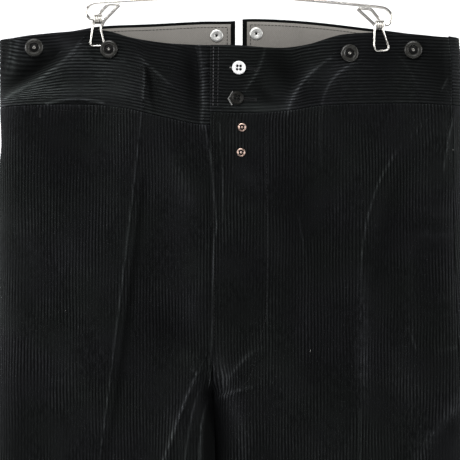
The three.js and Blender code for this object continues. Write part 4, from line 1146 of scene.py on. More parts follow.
class Nodes:
    """Short calls for building a shader tree."""

    def __init__(self, tree):
        self.tree = tree

    def add(self, kind, inputs=None, **settings):
        node = self.tree.nodes.new(kind)
        for key, value in settings.items():
            setattr(node, key, value)
        self.fill(node, inputs or {})
        return node

    def feed(self, socket, value):
        """Link another node's output to the socket, or set its value."""
        if isinstance(value, bpy.types.NodeSocket):
            self.tree.links.new(value, socket)
        else:
            socket.default_value = value

    def fill(self, node, inputs):
        for key, value in inputs.items():
            self.feed(node.inputs[key], value)

    def math(self, operation, a, b):
        return self.add("ShaderNodeMath", {0: a, 1: b}, operation=operation).outputs[0]

    def mix(self, share, a, b, blend="MIX"):
        node = self.add("ShaderNodeMix", data_type="RGBA", blend_type=blend)
        self.fill(node, {0: share, 6: a, 7: b})
        return node.outputs[2]

    def ramp(self, value, low, high):
        inputs = {"Value": value, "From Min": low, "From Max": high}
        return self.add("ShaderNodeMapRange", inputs).outputs["Result"]

    def grey(self, value):
        return self.add("ShaderNodeCombineColor", {"Red": value, "Green": value, "Blue": value}).outputs[0]

    def noise(self, vector, scale, detail=2.0, stretch=(1, 1, 1)):
        mapped = self.add("ShaderNodeMapping", {"Vector": vector, "Scale": stretch})
        inputs = {"Vector": mapped.outputs[0], "Scale": scale, "Detail": detail}
        return self.add("ShaderNodeTexNoise", inputs).outputs["Fac"]

    def group(self, name, inputs):
        node = self.add("ShaderNodeGroup", node_tree=bpy.data.node_groups[name])
        self.fill(node, inputs)
        return node.outputs


def effect_group(name, inputs, outputs):
    """A new shader group with named sockets, and its input and output nodes."""
    tree = bpy.data.node_groups.new(name, "ShaderNodeTree")
    for socket, kind, value in inputs:
        made = tree.interface.new_socket(name=socket, in_out="INPUT", socket_type=kind)
        if value is not None:
            made.default_value = value
    for socket, kind in outputs:
        tree.interface.new_socket(name=socket, in_out="OUTPUT", socket_type=kind)
    nodes = Nodes(tree)
    return nodes, nodes.add("NodeGroupInput").outputs, nodes.add("NodeGroupOutput").inputs


PILE_CONTRAST = 12.0  # how many times brighter the pile is under full painted light than under full painted shade
GROOVE_SHARE = 0.45  # share of that which reaches into a groove


def pile_group():
    """Cut pile: dark grooves, partly painted shade; crests lit by painted light; patches that lie flat."""
    nodes, given, out = effect_group(
        "Cut pile",
        [
            ("Weave", "NodeSocketVector", None),
            ("Wale", "NodeSocketFloat", 1.0),
            ("Crest", "NodeSocketColor", (0.02, 0.02, 0.022, 1)),
            ("Groove", "NodeSocketColor", (0.003, 0.003, 0.003, 1)),
            ("Brushing", "NodeSocketFloat", 0.5),
            ("Nap", "NodeSocketFloat", 0.5),
        ],
        [("Colour", "NodeSocketColor"), ("Roughness", "NodeSocketFloat"), ("Height", "NodeSocketFloat")],
    )
    tufts = nodes.noise(given["Weave"], 420.0, 3.0, (1.0, 0.32, 1.0))
    fibres = nodes.noise(given["Weave"], 1600.0, 2.0)
    broken = nodes.math("MULTIPLY", nodes.math("SUBTRACT", tufts, 0.5), 0.75)
    crest = nodes.ramp(nodes.math("ADD", given["Wale"], broken), 0.55, 1.02)
    lying = nodes.ramp(nodes.noise(given["Weave"], 30.0, 3.0, (1.0, 0.7, 1.0)), 0.44, 0.64)
    lying = nodes.math("MULTIPLY", lying, given["Brushing"])
    crest = nodes.add("ShaderNodeMix", {"Factor": lying, "A": crest, "B": 0.3}).outputs["Result"]
    strokes_and_painted_light = nodes.math("SUBTRACT", nodes.noise(given["Weave"], 17.0, 4.0, (1.0, 0.6, 1.0)), 0.5)
    strokes_and_painted_light = nodes.math("MULTIPLY", strokes_and_painted_light, 0.5)
    # The painted light from the shell, with random strokes of the pile's own tone.
    wear_and_painted_light = nodes.math("ADD", nodes.math("SUBTRACT", given["Nap"], 0.5), strokes_and_painted_light)
    bright = nodes.math("POWER", PILE_CONTRAST, wear_and_painted_light)
    sheltered = nodes.math("POWER", PILE_CONTRAST, nodes.math("MULTIPLY", wear_and_painted_light, GROOVE_SHARE))
    lit = nodes.mix(1.0, given["Crest"], nodes.grey(bright), "MULTIPLY")
    shaded = nodes.mix(1.0, given["Groove"], nodes.grey(sheltered), "MULTIPLY")
    faded = nodes.noise(given["Weave"], 11.0, 2.0)
    tint = nodes.mix(nodes.ramp(faded, 0.4, 0.6), (0.99, 0.99, 1.05, 1), (0.97, 1.04, 0.99, 1))
    colour = nodes.mix(1.0, nodes.mix(crest, shaded, lit), tint, "MULTIPLY")
    nodes.feed(out["Colour"], colour)
    nodes.feed(out["Roughness"], nodes.ramp(tufts, 0.2, 0.8))
    height = nodes.math("ADD", nodes.math("MULTIPLY", tufts, 0.7), nodes.math("MULTIPLY", fibres, 0.3))
    nodes.feed(out["Height"], height)


def twill_group():
    """Fine diagonal weave with slubs and faint soiling."""
    nodes, given, out = effect_group(
        "Twill",
        [("Weave", "NodeSocketVector", None), ("Cloth", "NodeSocketColor", (0.25, 0.24, 0.22, 1))],
        [("Colour", "NodeSocketColor"), ("Height", "NodeSocketFloat")],
    )
    twill = {"Vector": given["Weave"], "Scale": 330.0, "Distortion": 1.5, "Detail": 1.0}
    lines = nodes.add("ShaderNodeTexWave", twill, bands_direction="DIAGONAL").outputs["Fac"]
    slub = nodes.noise(given["Weave"], 260.0, 3.0, (1.0, 4.0, 1.0))
    stain = nodes.noise(given["Weave"], 22.0, 4.0)
    bright = nodes.math("ADD", nodes.math("MULTIPLY", slub, 0.35), nodes.math("MULTIPLY", stain, 0.4))
    bright = nodes.math("ADD", nodes.math("ADD", bright, 0.5), nodes.math("MULTIPLY", lines, 0.22))
    nodes.feed(out["Colour"], nodes.mix(1.0, given["Cloth"], nodes.grey(bright), "MULTIPLY"))
    nodes.feed(out["Height"], nodes.math("ADD", lines, slub))


def worn_group():
    """Rubbed metal or plastic: small scratches, dull patches and a colour that shows where it is worn."""
    nodes, given, out = effect_group(
        "Rubbed",
        [
            ("Place", "NodeSocketVector", None),
            ("Finish", "NodeSocketColor", (0.5, 0.5, 0.5, 1)),
            ("Worn", "NodeSocketColor", (0.7, 0.7, 0.7, 1)),
            ("Amount", "NodeSocketFloat", 0.3),
            ("Least roughness", "NodeSocketFloat", 0.2),
        ],
        [("Colour", "NodeSocketColor"), ("Roughness", "NodeSocketFloat"), ("Height", "NodeSocketFloat")],
    )
    patches = nodes.noise(given["Place"], 420.0, 4.0)
    grain = nodes.noise(given["Place"], 2600.0, 2.0, (1.0, 1.0, 0.3))
    shown = nodes.math("MULTIPLY", nodes.ramp(patches, 0.5, 0.75), given["Amount"])
    nodes.feed(out["Colour"], nodes.mix(shown, given["Finish"], given["Worn"]))
    rough = nodes.math("ADD", given["Least roughness"], nodes.math("MULTIPLY", patches, 0.22))
    nodes.feed(out["Roughness"], rough)
    nodes.feed(out["Height"], grain)


def new_material(name):
    """A new material's tree and its shader."""
    material = bpy.data.materials.new(name)
    material.use_nodes = True
    nodes = Nodes(material.node_tree)
    return nodes, nodes.tree.nodes["Principled BSDF"]


def bumped(nodes, shader, height, strength, distance):
    bump = nodes.add("ShaderNodeBump", {"Height": height, "Strength": strength, "Distance": distance})
    nodes.feed(shader.inputs["Normal"], bump.outputs[0])


def opaque(colour):
    return (*colour[:3], 1.0)


FACING_PILE = 0.6  # painted sheen: brightness of pile that is seen from straight above; more is painted at low angles


def corduroy_material(settings):
    nodes, shader = new_material("Corduroy")
    inputs = {
        "Weave": nodes.add("ShaderNodeUVMap", uv_map="weave").outputs[0],
        "Wale": nodes.add("ShaderNodeAttribute", attribute_name="wale").outputs["Fac"],
        "Crest": opaque(settings.crest_colour),
        "Groove": opaque(settings.groove_colour),
        "Brushing": settings.brushing,
        "Nap": nodes.add("ShaderNodeAttribute", attribute_name="nap").outputs["Fac"],
    }
    pile = nodes.group("Cut pile", inputs)
    # Painted sheen: the colour is brightened where the pile is seen at a low angle.
    facing = nodes.add("ShaderNodeLayerWeight", {"Blend": 0.35}).outputs["Facing"]
    painted_sheen = nodes.math("ADD", FACING_PILE, nodes.math("MULTIPLY", facing, settings.nap))
    finish = {
        "Base Color": nodes.mix(1.0, pile["Colour"], nodes.grey(painted_sheen), "MULTIPLY"),
        "Roughness": nodes.ramp(pile["Roughness"], -1.6, 1.0),
        "Specular IOR Level": 0.03,
        "Sheen Weight": settings.sheen,
        "Sheen Roughness": 0.35,
        "Sheen Tint": opaque(settings.sheen_colour),
    }
    nodes.fill(shader, finish)
    bumped(nodes, shader, pile["Height"], 0.5, 0.0004)


def lining_material(settings):
    nodes, shader = new_material("Lining twill")
    weave = nodes.add("ShaderNodeUVMap", uv_map="weave").outputs[0]
    twill = nodes.group("Twill", {"Weave": weave, "Cloth": opaque(settings.lining_colour)})
    nodes.fill(shader, {"Base Color": twill["Colour"], "Roughness": 0.92, "Specular IOR Level": 0.2})
    bumped(nodes, shader, twill["Height"], 0.35, 0.0002)


def rubbed_material(name, finish, worn, amount, roughness, metallic, specular):
    nodes, shader = new_material(name)
    inputs = {
        "Place": nodes.add("ShaderNodeTexCoord").outputs["Object"],
        "Finish": opaque(finish),
        "Worn": opaque(worn),
        "Amount": amount,
        "Least roughness": roughness,
    }
    wear_and_painted_light = nodes.group("Rubbed", inputs)
    nodes.fill(shader, {"Base Color": wear_and_painted_light["Colour"], "Roughness": wear_and_painted_light["Roughness"]})
    nodes.fill(shader, {"Metallic": metallic, "Specular IOR Level": specular})
    bumped(nodes, shader, wear_and_painted_light["Height"], 0.15, 0.0001)


def thread_material(name, colour):
    nodes, shader = new_material(name)
    place = nodes.add("ShaderNodeTexCoord").outputs["Object"]
    twist = nodes.noise(place, 2400.0, 2.0, (1.0, 1.0, 2.0))
    dark = tuple(0.55 * channel for channel in colour[:3])
    twisted = nodes.mix(twist, opaque(dark), opaque(colour))
    nodes.fill(shader, {"Base Color": twisted, "Roughness": 0.85, "Specular IOR Level": 0.08})
    bumped(nodes, shader, twist, 0.4, 0.0001)


# Finish, colour where worn, amount of wear, least roughness, metallic, specular.
RUBBED = {
    "Black lacquer": ((0.015, 0.015, 0.013), (0.04, 0.039, 0.035), 0.5, 0.18, 0.2, 0.35),
    "Bright eyelet": ((0.3, 0.29, 0.27), (0.6, 0.59, 0.57), 0.5, 0.2, 1.0, 0.5),
    "Pale washer": ((0.6, 0.6, 0.58), (0.8, 0.8, 0.78), 0.5, 0.24, 0.75, 0.5),
    "White button": ((0.66, 0.66, 0.66), (0.6, 0.6, 0.59), 0.4, 0.1, 0.0, 0.5),
    "Black button": ((0.005, 0.005, 0.004), (0.008, 0.007, 0.006), 0.3, 0.3, 0.0, 0.14),
    "Pink plating": ((0.42, 0.3, 0.25), (0.6, 0.52, 0.48), 0.6, 0.2, 1.0, 0.5),
    # Also painted shade: the dark discs in the recesses of the brace buttons and fly rivets.
    "Dark metal": ((0.003, 0.003, 0.003), (0.012, 0.011, 0.01), 0.4, 0.4, 0.0, 0.1),
    "Drawn wire": ((0.62, 0.6, 0.56), (0.78, 0.77, 0.75), 0.5, 0.12, 1.0, 0.5),
}


def make_materials(settings):
    """The shared effects first, then each finish."""
    pile_group()
    twill_group()
    worn_group()
    corduroy_material(settings)
    lining_material(settings)
    for name, finish in RUBBED.items():
        rubbed_material(name, *finish)
    thread_material("Black thread", tuple(settings.thread_colour))
    # A lighter black for the stitching at the waistband's edge.
    thread_material("Lighter black thread", (0.055, 0.055, 0.057))
    # Pale thread for the painted highlights on the waist buttons' rims.
    thread_material("Highlight thread", (0.3, 0.3, 0.29))
    thread_material("Pale thread", (0.55, 0.54, 0.5))


# ---- settings -----------------------------------------------------------------------------------


def swatch(name, description, default):
    return FloatVectorProperty(
        name=name, description=description, default=default, size=3, min=0, max=1, subtype="COLOR",
    )


def slider(name, description, default, **limits):
    return FloatProperty(name=name, description=description, default=default, **limits)


class TrousersSettings(PropertyGroup):
    """Sizes and colours that a user may change."""

    wale_pitch: slider("Wale pitch", "Distance from one wale to the next, in mm", 3.2, min=1)
    wale_relief: slider("Wale relief", "Height of a wale, in mm", 0.5, min=0)
    cloth_thickness: slider("Cloth thickness", "One layer of corduroy, in mm", 1.8, min=0.5)
    # Crest and groove differ partly in the pile's own tone and partly by painted highlight on crests and
    # painted shade in grooves.
    crest_colour: swatch("Crest", "Colour of the pile on a wale", (0.0182, 0.0191, 0.0195))
    groove_colour: swatch("Groove", "Colour between the wales", (0.0036, 0.0039, 0.0040))
    sheen_colour: swatch("Sheen tint", "Tint of the pile seen at a low angle", (0.62, 0.66, 0.72))
    sheen: slider("Sheen", "Strength of the pile's sheen", 0.008, min=0, max=1, subtype="FACTOR")
    brushing: slider("Brushing", "Unevenness of the pile's shade", 0.75, min=0, max=1, subtype="FACTOR")
    # Painted sheen: how far the pile's colour is brightened where it is seen at a low angle.
    nap: slider("Nap", "How much the pile brightens seen from its side", 0.6, min=0)
    lining_colour: swatch("Lining", "Grey cotton inside the back waistband", (0.19, 0.18, 0.165))
    thread_colour: swatch("Thread", "Black sewing thread", (0.017, 0.0175, 0.018))
    lens_distance: slider("Camera distance", "From the camera to the cloth", 2.6, min=0.5, unit="LENGTH")
    key_power: slider("Key light", "Power of the large soft light", 55, min=0, unit="POWER")
    fill_power: slider("Fill light", "Power of the lights at both sides", 22, min=0, unit="POWER")
    wall_power: slider("Wall lights", "Power of each light on the wall behind", 20, min=0, unit="POWER")
    wall_light: slider("Surroundings", "Strength of the white surroundings", 0.15, min=0)


# ---- operators ----------------------------------------------------------------------------------


# What each group of pieces draws its unevenness from; every piece takes the next number.
SEEDS = {"legs": 1, "waistband": 11, "underlap": 21, "lining": 31}
WEAVE_TWIST, LINING_TWIST = 137.0, 91.0  # how far the pile's pattern is moved on from piece to piece


def corduroy_shell(settings, points, face, side, zero, seed, part="leg", thickness=None, tuck=0.0):
    normals = normals_of(points, face)
    return ribbed_shell(
        points,
        normals,
        zero,
        thickness or settings.cloth_thickness,
        settings.wale_pitch,
        settings.wale_relief,
        seed,
        twist=WEAVE_TWIST * seed,
        pile=Pile(
            dragged(part, face, side, points),
            painted_fold_light(points, normals, face),
            pressed_flat(part, points),
            EDGE_HIGHLIGHT[part],
            tuck,
        ),
    )


LEG_PIECES = (("front", "right"), ("front", "left"), ("back", "right"), ("back", "left"))
FIRST_WALE = {"right": -130.0, "left": 90.0}  # x that a leg's wales are counted from


class TROUSERS_OT_legs(Operator):
    """Build the two fronts and two backs, with wales from waistband to hem"""

    bl_idname = "trousers.legs"
    bl_label = "Legs"

    def execute(self, context):
        settings = context.scene.trousers
        for seed, (face, side) in enumerate(LEG_PIECES, SEEDS["legs"]):
            points = leg_grid(face, side)
            zero = zero_at(points, FIRST_WALE[side])
            shell = corduroy_shell(settings, points, face, side, zero, seed, tuck=TUCK_LENGTH)
            make_cloth(f"{face}_{side}_cloth", shell, "Corduroy", [f"{face}_{side}"])
        return {"FINISHED"}


BAND_EASE = 0.01  # metres, what each part's ends turn under
BAND_FIRST_WALE = 0.6
# face, side, where the part ends and how the fly lifts it
BAND_PIECES = (
    ("front", "right", OUTLINE["parting"][-1] + FLY_WIDTH, None),
    ("front", "left", OUTLINE["parting"][-1] - FLY_EDGE, band_fly_lift),
    ("back", "right", SPLIT["right"], None),
    ("back", "left", SPLIT["left"], None),
)


class TROUSERS_OT_waistband(Operator):
    """Build the four parts of the waistband, with wales along it"""

    bl_idname = "trousers.waistband"
    bl_label = "Waistband"

    def execute(self, context):
        settings = context.scene.trousers
        for seed, (face, side, end_x, lift) in enumerate(BAND_PIECES, SEEDS["waistband"]):
            points = band_grid(face, side, end_x, lift=lift)
            zero = np.full(len(points), BAND_FIRST_WALE)
            shell = corduroy_shell(settings, points, face, side, zero, seed, "band", BAND_THICKNESS)
            length = abs(outer_edge(side, SEAM_Z) - end_x) * MM + BAND_EASE
            name = f"band_{face}_{side}"
            make_cloth(f"{name}_cloth", shell, "Corduroy", [name])
        return {"FINISHED"}


UNDERLAP_SPACING, UNDERLAP_SAMPLES = 7.0, 90
UNDERLAP_TAPER = (0.7, 0.3, 0.5)  # where down its length it starts to narrow, how soon, and by what share
UNDERLAP_SINK = 0.2  # below the fronts' surface
UNDERLAP_FIRST_WALE = 0.4


class TROUSERS_OT_fly_underlap(Operator):
    """Build the button stand that lies under the top side of the fly"""

    bl_idname = "trousers.fly_underlap"
    bl_label = "Fly underlap"

    def execute(self, context):
        settings = context.scene.trousers
        rows = stations((UNDERLAP_TOP_Z, UNDERLAP_END_Z), (UNDERLAP_SPACING,))[:, None]
        down = (UNDERLAP_TOP_Z - rows) / (UNDERLAP_TOP_Z - UNDERLAP_END_Z)
        start, soon, narrower = UNDERLAP_TAPER
        width = FLY_WIDTH * (1 - narrower * ease((down - start) / soon))
        x = read(OUTLINE, "parting", rows) + GAP / 2 + width * np.linspace(0, 1, UNDERLAP_SAMPLES)[None, :]
        z = np.broadcast_to(rows, x.shape)
        points = np.stack([x, surface_y("front", "left", x, z), z], -1)
        points = points - normals_of(points, "front") * UNDERLAP_SINK
        zero = np.full(len(points), UNDERLAP_FIRST_WALE)
        shell = corduroy_shell(settings, points, "front", "left", zero, SEEDS["underlap"])
        make_cloth("fly_underlap_cloth", shell, "Corduroy", ["fly_underlap"])
        return {"FINISHED"}


LINING_START = EDGE_ROUND * 1.2  # it starts past the turn of the side
LINING_STITCH = {"split": 3.4, "top": 3.2, "seam": 3.0, "side": EDGE_ROUND * 1.4}  # from the lining's edges
LINING_STITCH_AIR = 0.05
LINING_COLUMN = 3.0  # width of its columns; it has no wales


class TROUSERS_OT_lining(Operator):
    """Build the grey lining inside the back waistband, with its topstitching"""

    bl_idname = "trousers.lining"
    bl_label = "Lining"

    def execute(self, context):
        for turn, side in enumerate(("right", "left")):
            end_x = SPLIT[side] + outwards(side) * LINING_INSET["split"]
            points = band_grid("back", side, end_x, LINING_INSET["top"], LINING_INSET["seam"], LINING_START)
            points = points - normals_of(points, "back") * (BAND_THICKNESS + LINING_AIR)
            shell = ribbed_shell(
                points,
                normals_of(points, "back"),
                np.zeros(len(points)),
                LINING_THICKNESS,
                LINING_COLUMN,
                relief=0.0,
                seed=turn + SEEDS["lining"],
                twist=LINING_TWIST * turn,
            )
            length = abs(outer_edge(side, SEAM_Z) - end_x) * MM
            name = f"lining_{side}"
            make_cloth(f"{name}_cloth", shell, "Lining twill", [name])
            seam = Solid()
            first = end_x + outwards(side) * LINING_STITCH["split"]
            last = outer_edge(side, SEAM_Z) - outwards(side) * LINING_STITCH["side"]
            below = LINING_INSET["top"] + LINING_STITCH["top"]
            top = [(x, read(BAND_TOP["back"], "z", x) - below) for x in np.linspace(first, last, 40)]
            low = read(BAND_SEAM["back", side], "z", end_x) + LINING_INSET["seam"] + LINING_STITCH["seam"]
            depth = -(BAND_THICKNESS + LINING_AIR + LINING_THICKNESS + LINING_STITCH_AIR)
            stitch_row(seam, "back", side, [(first, low), top[0]], off=depth)
            stitch_row(seam, "back", side, top, off=depth, bend=0.5)
            seam.make(f"{name}_topstitch", "Black thread", "lining")
        return {"FINISHED"}


# What each brace button is made of: part, profile, inside or outside, material, slot and node it stands for.
BRACE_PARTS = (
    ("button", BRACE_BUTTON, "outside", "Black lacquer", "black_metal", "brace_button"),
    ("well", BRACE_WELL, "outside", "Dark metal", "black_metal", None),
    ("eyelet", BRACE_EYELET, "outside", "Bright eyelet", "black_metal", None),
    ("washer", WASHER, "inside", "Pale washer", "pale_metal", "brace_rivet"),
    ("pin", WASHER_PIN, "inside", "Dark metal", "pale_metal", None),
)
BRACE_AIR, WASHER_AIR = 0.25, 0.4  # from the cloth outside and inside


class TROUSERS_OT_brace_buttons(Operator):
    """Build the six brace buttons with their bright eyelets, and the washers inside"""

    bl_idname = "trousers.brace_buttons"
    bl_label = "Brace buttons"

    def execute(self, context):
        for name, (face, side, x, z) in BRACE_BUTTONS.items():
            (at,), (normal,) = cloth_at(face, side, x, z, off=BRACE_AIR)
            normal = normal + LAY_FLAT * np.array([0, fore(face), 0])
            normal /= np.linalg.norm(normal)
            lined = LINING_THICKNESS + LINING_AIR if face == "back" else 0
            inside = at - normal * (BAND_THICKNESS + lined + WASHER_AIR)
            places = {"outside": (at, normal), "inside": (inside, -normal)}
            for part, profile, where, material, slot, node in BRACE_PARTS:
                nodes = [f"{node}_{name}"] if node else []
                make_turned(f"brace_{part}_{name}_look", profile, *places[where], material, slot, nodes)
        return {"FINISHED"}


BUTTON_SEGMENTS, DRILL_SEGMENTS, STRAND_SEGMENTS = 56, 20, 16


class TROUSERS_OT_waist_buttons(Operator):
    """Build the two four-hole buttons of the waistband with their thread and buttonholes"""

    bl_idname = "trousers.waist_buttons"
    bl_label = "Waist buttons"

    def execute(self, context):
        for name, (x, z, finish, slot, tilt) in WAIST_BUTTONS.items():
            (at,), (normal,) = cloth_at("front", "left", x, z, band_fly_lift, off=BUTTON_AIR)
            normal = normal + np.array([tilt, 0, BUTTON_NOD])
            normal /= np.linalg.norm(normal)
            disc, holes, thread = Solid(), Solid(), Solid()
            disc.add(*lathe(SHIRT_BUTTON, BUTTON_SEGMENTS))
            drill, walls = lathe(BUTTON_DRILL, DRILL_SEGMENTS)
            strand, strand_faces = lathe(BUTTON_THREAD, STRAND_SEGMENTS)
            for hx in (-HOLE_OFFSET, HOLE_OFFSET):
                for hy in (-HOLE_OFFSET, HOLE_OFFSET):
                    shift = np.array([hx, hy, 0])
                    holes.add(drill + shift, walls)
                    thread.add(stood(strand + shift, at, normal), strand_faces)
            button = disc.make(f"{name}_disc", finish, slot, [name])
            cut_away(button, holes.make(f"{name}_holes", finish, slot))
            turn = Vector((0, 0, 1)).rotation_difference(Vector(normal)).to_matrix().to_4x4()
            turn.translation = Vector(at * MM)
            button.data.transform(turn)
            thread.make(f"{name}_thread", "Black thread", slot)
            hole = Solid()
            end = (x + BUTTONHOLE["end"], z - BUTTONHOLE["fall"])
            for edge in (-BUTTONHOLE["half_gap"], BUTTONHOLE["half_gap"]):
                start = (x + BUTTONHOLE["start"], z + edge - BUTTONHOLE["drop"])
                edge_end = (end[0], end[1] + edge)
                satin_row(hole, "front", "left", start, edge_end, BUTTONHOLE["edge"], band_fly_lift)
            tack_end = (end[0] + BUTTONHOLE_TACK[0], end[1] + BUTTONHOLE_TACK[1])
            satin_row(hole, "front", "left", end, tack_end, BUTTONHOLE["tack"], band_fly_lift)
            hole.make(f"{name}_buttonhole", "Black thread", "corduroy")
            # Pale thread at the buttonhole's end, painted as the highlight on the button's rim there.
            bar = Solid()
            for start, finish_at, width in BUTTONHOLE_END_HIGHLIGHTS[name]:
                satin_row(bar, "front", "left", start, finish_at, width, band_fly_lift, off=BAR_HEIGHT)
            bar.make(f"{name}_bar", "Highlight thread", "corduroy")
        return {"FINISHED"}


def cut_away(piece, cutter):
    """Cuts one piece's body out of another and removes the cutter."""
    change = piece.modifiers.new("holes", "BOOLEAN")
    change.operation, change.solver, change.object = "DIFFERENCE", "EXACT", cutter
    graph = bpy.context.evaluated_depsgraph_get()
    cut = bpy.data.meshes.new_from_object(piece.evaluated_get(graph))
    piece.modifiers.clear()
    piece.data = cut
    bpy.data.objects.remove(cutter)


class TROUSERS_OT_fly_rivets(Operator):
    """Build the two plated rivets below the waistband"""

    bl_idname = "trousers.fly_rivets"
    bl_label = "Fly rivets"

    def execute(self, context):
        for name, (x, z) in FLY_RIVETS.items():
            (at,), (normal,) = cloth_at("front", "left", x, z, panel_fly_lift, off=RIVET_AIR)
            make_turned(f"{name}_ring", FLY_RING, at, normal, "Pink plating", "rivet", [name])
            make_turned(f"{name}_well", FLY_WELL, at, normal, "Dark metal", "rivet")
        return {"FINISHED"}


LINT_SEED = 8
LINT_LENGTH = (0.6, 1.3)
LINT_CURL = [[-1.0, 0.1], [0.0, 0.35], [1.0, 0.0]]  # the path of a fibre that is 2 long


class TROUSERS_OT_seams(Operator):
    """Build the topstitching of the fly, waistband, pocket and hems, and a little lint"""

    bl_idname = "trousers.seams"
    bl_label = "Seams"

    def execute(self, context):
        for name, rows in STITCHING.items():
            solid = Solid()
            for face, side, lift, height, radius, path in rows:
                stitch_row(solid, face, side, path, LIFTS[lift], radius=radius, off=height)
            thread = "Lighter black thread" if name == "band_edge" else "Black thread"
            solid.make(f"{name}_stitching", thread, "corduroy")
        tacks = Solid()
        for face, side, lift, start, end, width in BARTACKS:
            satin_row(tacks, face, side, start, end, width, LIFTS[lift])
        tacks.make("bartacks", "Black thread", "corduroy")
        for face in ("front", "back"):
            hem = Solid()
            for side in ("right", "left"):
                z = HEM_Z + HEM_DEPTH
                outer = outer_edge(side, z) - outwards(side) * HEM_STITCH["outer"]
                inner = inner_edge(side, z) + outwards(side) * HEM_STITCH["inner"]
                stitch_row(hem, face, side, [(min(outer, inner), z), (max(outer, inner), z)])
            hem.make(f"hem_{face}_stitching", "Black thread", "corduroy")
        lint, random = Solid(), np.random.default_rng(LINT_SEED)
        for side, x, z in LINT:
            turn, length = random.uniform(0, math.pi), random.uniform(*LINT_LENGTH)
            ways = np.array(LINT_CURL) * length / 2
            spin = np.array([[math.cos(turn), -math.sin(turn)], [math.sin(turn), math.cos(turn)]])
            path = softened(ways @ spin.T + (x, z), 1.0)
            points, _ = cloth_at("front", side, path[:, 0], path[:, 1], off=LINT_HEIGHT)
            lint.add(*tube(points, LINT_RADIUS, 5))
        lint.make("lint", "Pale thread", "corduroy")
        return {"FINISHED"}


class TROUSERS_OT_hanger(Operator):
    """Build the wire hanger with its two sprung clips"""

    bl_idname = "trousers.hanger"
    bl_label = "Hanger"

    def execute(self, context):
        radius = HOOK_INSIDE + HANGER_WIRE
        turns = np.linspace(*HOOK_TURN, HOOK_STEPS) * math.pi
        hook = [(radius * math.cos(a), 0, radius * math.sin(a) - HOOK_INSIDE) for a in turns]
        neck = softened([(x, 0, z) for x, z in NECK] + hook[:2], NECK_BEND, 6)
        frame_wire = Solid()
        frame_wire.add(*tube(np.concatenate([neck[:-1], hook[1:]]), HANGER_WIRE, WIRE_SIDES))
        bar = softened([(x, 0, z) for x, z in BAR], BAR_BEND, 8)
        frame_wire.add(*tube(bar, HANGER_WIRE, WIRE_SIDES))
        frame_wire.make("hanger_wire", "Drawn wire", "steel", ["hanger_frame"])
        for side, clip in CLIPS.items():
            for face in ("front", "back"):
                jaw = Solid()
                path = softened(clip["jaw"], JAW_BEND, 6)
                legs = [np.linspace(a, b, 4)[:-1] for a, b in zip(path[:-1], path[1:])]
                path = np.concatenate(legs + [path[-1:]])
                edge = read(BAND_TOP[face], "z", clip["x"])
                lying, _ = cloth_at(face, side, path[:, 0], np.minimum(path[:, 1], edge))
                rest = np.abs(lying[:, 1]) + CLIP_WIRE + CLIP_AIR
                over = ease((path[:, 1] - edge + CLIP_OVER) / CLIP_OVER_RUN)
                depth = fore(face) * (rest * (1 - over) + (SPRING["outside"] + CLIP_WIRE + GAP) * over)
                jaw.add(*tube(np.stack([path[:, 0], depth, path[:, 1]], -1), CLIP_WIRE, 12))
                jaw.make(f"clip_{side}_{face}_wire", "Drawn wire", "steel", [f"clip_{side}_{face}"])
            coil = Solid()
            angles = np.linspace(0, 2 * math.pi * SPRING["turns"], 26 * SPRING["turns"])
            mean = SPRING["outside"] - SPRING_WIRE
            x = clip["x"] + np.linspace(-1, 1, len(angles)) * (SPRING["half_length"] - SPRING_WIRE)
            y, z = mean * np.cos(angles), clip["spring_z"] + mean * np.sin(angles)
            coil.add(*tube(np.stack([x, y, z], -1), SPRING_WIRE, 10))
            coil.make(f"clip_{side}_coil", "Drawn wire", "steel", [f"clip_{side}_spring"])
        return {"FINISHED"}


VIEW_CENTRE = (-9.5, -320.0)  # x and z at the middle of the camera's view
VIEW_SIZE = 460.0  # width of the view at the cloth
CLOTH_FRONT_Y = -8.0
# The stage is in metres.
STAGE_SHEETS = {
    "wall": [(-6, 0.35, -1.36), (6, 0.35, -1.36), (6, 0.35, 4), (-6, 0.35, 4)],
    "floor": [(-6, -6, -1.36), (6, -6, -1.36), (6, 0.35, -1.36), (-6, 0.35, -1.36)],
}
# Name, place, what it is aimed at, size, and the setting for its power with the share that it takes.
LIGHTS = (
    ("key", (-0.45, -1.9, 1.3), (0, 0, -0.3), 1.2, "key_power", 1.0),
    ("side", (-1.9, -1.5, 0.1), (0, 0, -0.35), 0.9, "fill_power", 0.6),
    ("fill", (1.7, -1.7, 0.0), (0, 0, -0.4), 1.3, "fill_power", 0.5),
    ("wall_left", (-1.3, -0.1, -0.1), (0, 0.35, -0.35), 0.8, "wall_power", 1.0),
    ("wall_right", (1.3, -0.1, -0.1), (0, 0.35, -0.35), 0.8, "wall_power", 1.0),
)


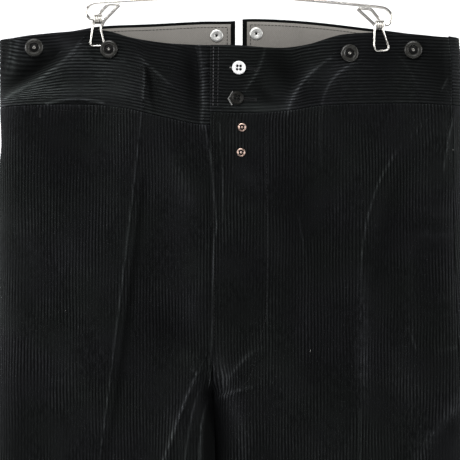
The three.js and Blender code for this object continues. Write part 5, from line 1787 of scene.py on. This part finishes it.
class TROUSERS_OT_stage(Operator):
    """Build the pale floor and wall, the soft lights and the camera"""

    bl_idname = "trousers.stage"
    bl_label = "Stage"

    def execute(self, context):
        settings = context.scene.trousers
        scene = context.scene
        nodes, shader = new_material("Pale wall")
        nodes.fill(shader, {"Base Color": (0.8, 0.8, 0.81, 1), "Roughness": 0.9})
        behind = nodes.add("ShaderNodeNewGeometry").outputs["Backfacing"]
        unseen = nodes.add("ShaderNodeBsdfTransparent").outputs[0]
        surface = nodes.add("ShaderNodeMixShader", {0: behind, 1: shader.outputs[0], 2: unseen}).outputs[0]
        nodes.feed(nodes.tree.nodes["Material Output"].inputs["Surface"], surface)
        for name, corners in STAGE_SHEETS.items():
            mesh = bpy.data.meshes.new(name)
            mesh.from_pydata(corners, [], [(0, 1, 2, 3)])
            mesh.materials.append(bpy.data.materials["Pale wall"])
            sheet = bpy.data.objects.new(name, mesh)
            scene.collection.objects.link(sheet)
        for name, place, aim, size, power, share in LIGHTS:
            light = bpy.data.objects.new(name, bpy.data.lights.new(name, "AREA"))
            light.data.energy = getattr(settings, power) * share
            light.data.size = size
            light.location = place
            light.rotation_euler = (Vector(aim) - Vector(place)).to_track_quat("-Z", "Y").to_euler()
            scene.collection.objects.link(light)
        world = bpy.data.worlds.new("white room")
        world.use_nodes = True
        white = {"Color": (1, 1, 1, 1), "Strength": settings.wall_light}
        Nodes(world.node_tree).fill(world.node_tree.nodes["Background"], white)
        scene.world = world
        scene.view_settings.view_transform = "Standard"
        camera = bpy.data.objects.new("camera", bpy.data.cameras.new("camera"))
        distance = settings.lens_distance
        camera.location = (VIEW_CENTRE[0] * MM, CLOTH_FRONT_Y * MM - distance, VIEW_CENTRE[1] * MM)
        camera.rotation_euler = (math.pi / 2, 0, 0)
        camera.data.lens = camera.data.sensor_width * distance / (VIEW_SIZE * MM)
        scene.collection.objects.link(camera)
        scene.camera = camera
        return {"FINISHED"}


class TROUSERS_PT_panel(Panel):
    """Lists the steps that build the trousers"""

    bl_label = "Trousers"
    bl_idname = "TROUSERS_PT_panel"
    bl_space_type = "VIEW_3D"
    bl_region_type = "UI"
    bl_category = "Trousers"

    def draw(self, context):
        for step in STEPS:
            self.layout.operator(step.bl_idname)


STEPS = (
    TROUSERS_OT_legs,
    TROUSERS_OT_waistband,
    TROUSERS_OT_fly_underlap,
    TROUSERS_OT_lining,
    TROUSERS_OT_brace_buttons,
    TROUSERS_OT_waist_buttons,
    TROUSERS_OT_fly_rivets,
    TROUSERS_OT_seams,
    TROUSERS_OT_hanger,
    TROUSERS_OT_stage,
)
CLASSES = (TrousersSettings, *STEPS, TROUSERS_PT_panel)


def register():
    for cls in CLASSES:
        bpy.utils.register_class(cls)
    bpy.types.Scene.trousers = PointerProperty(type=TrousersSettings)


def unregister():
    del bpy.types.Scene.trousers
    for cls in reversed(CLASSES):
        bpy.utils.unregister_class(cls)


def main():
    register()
    make_materials(bpy.context.scene.trousers)
    for step in STEPS:
        group, call = step.bl_idname.split(".")
        getattr(getattr(bpy.ops, group), call)()


if __name__ == "__main__":
    main()
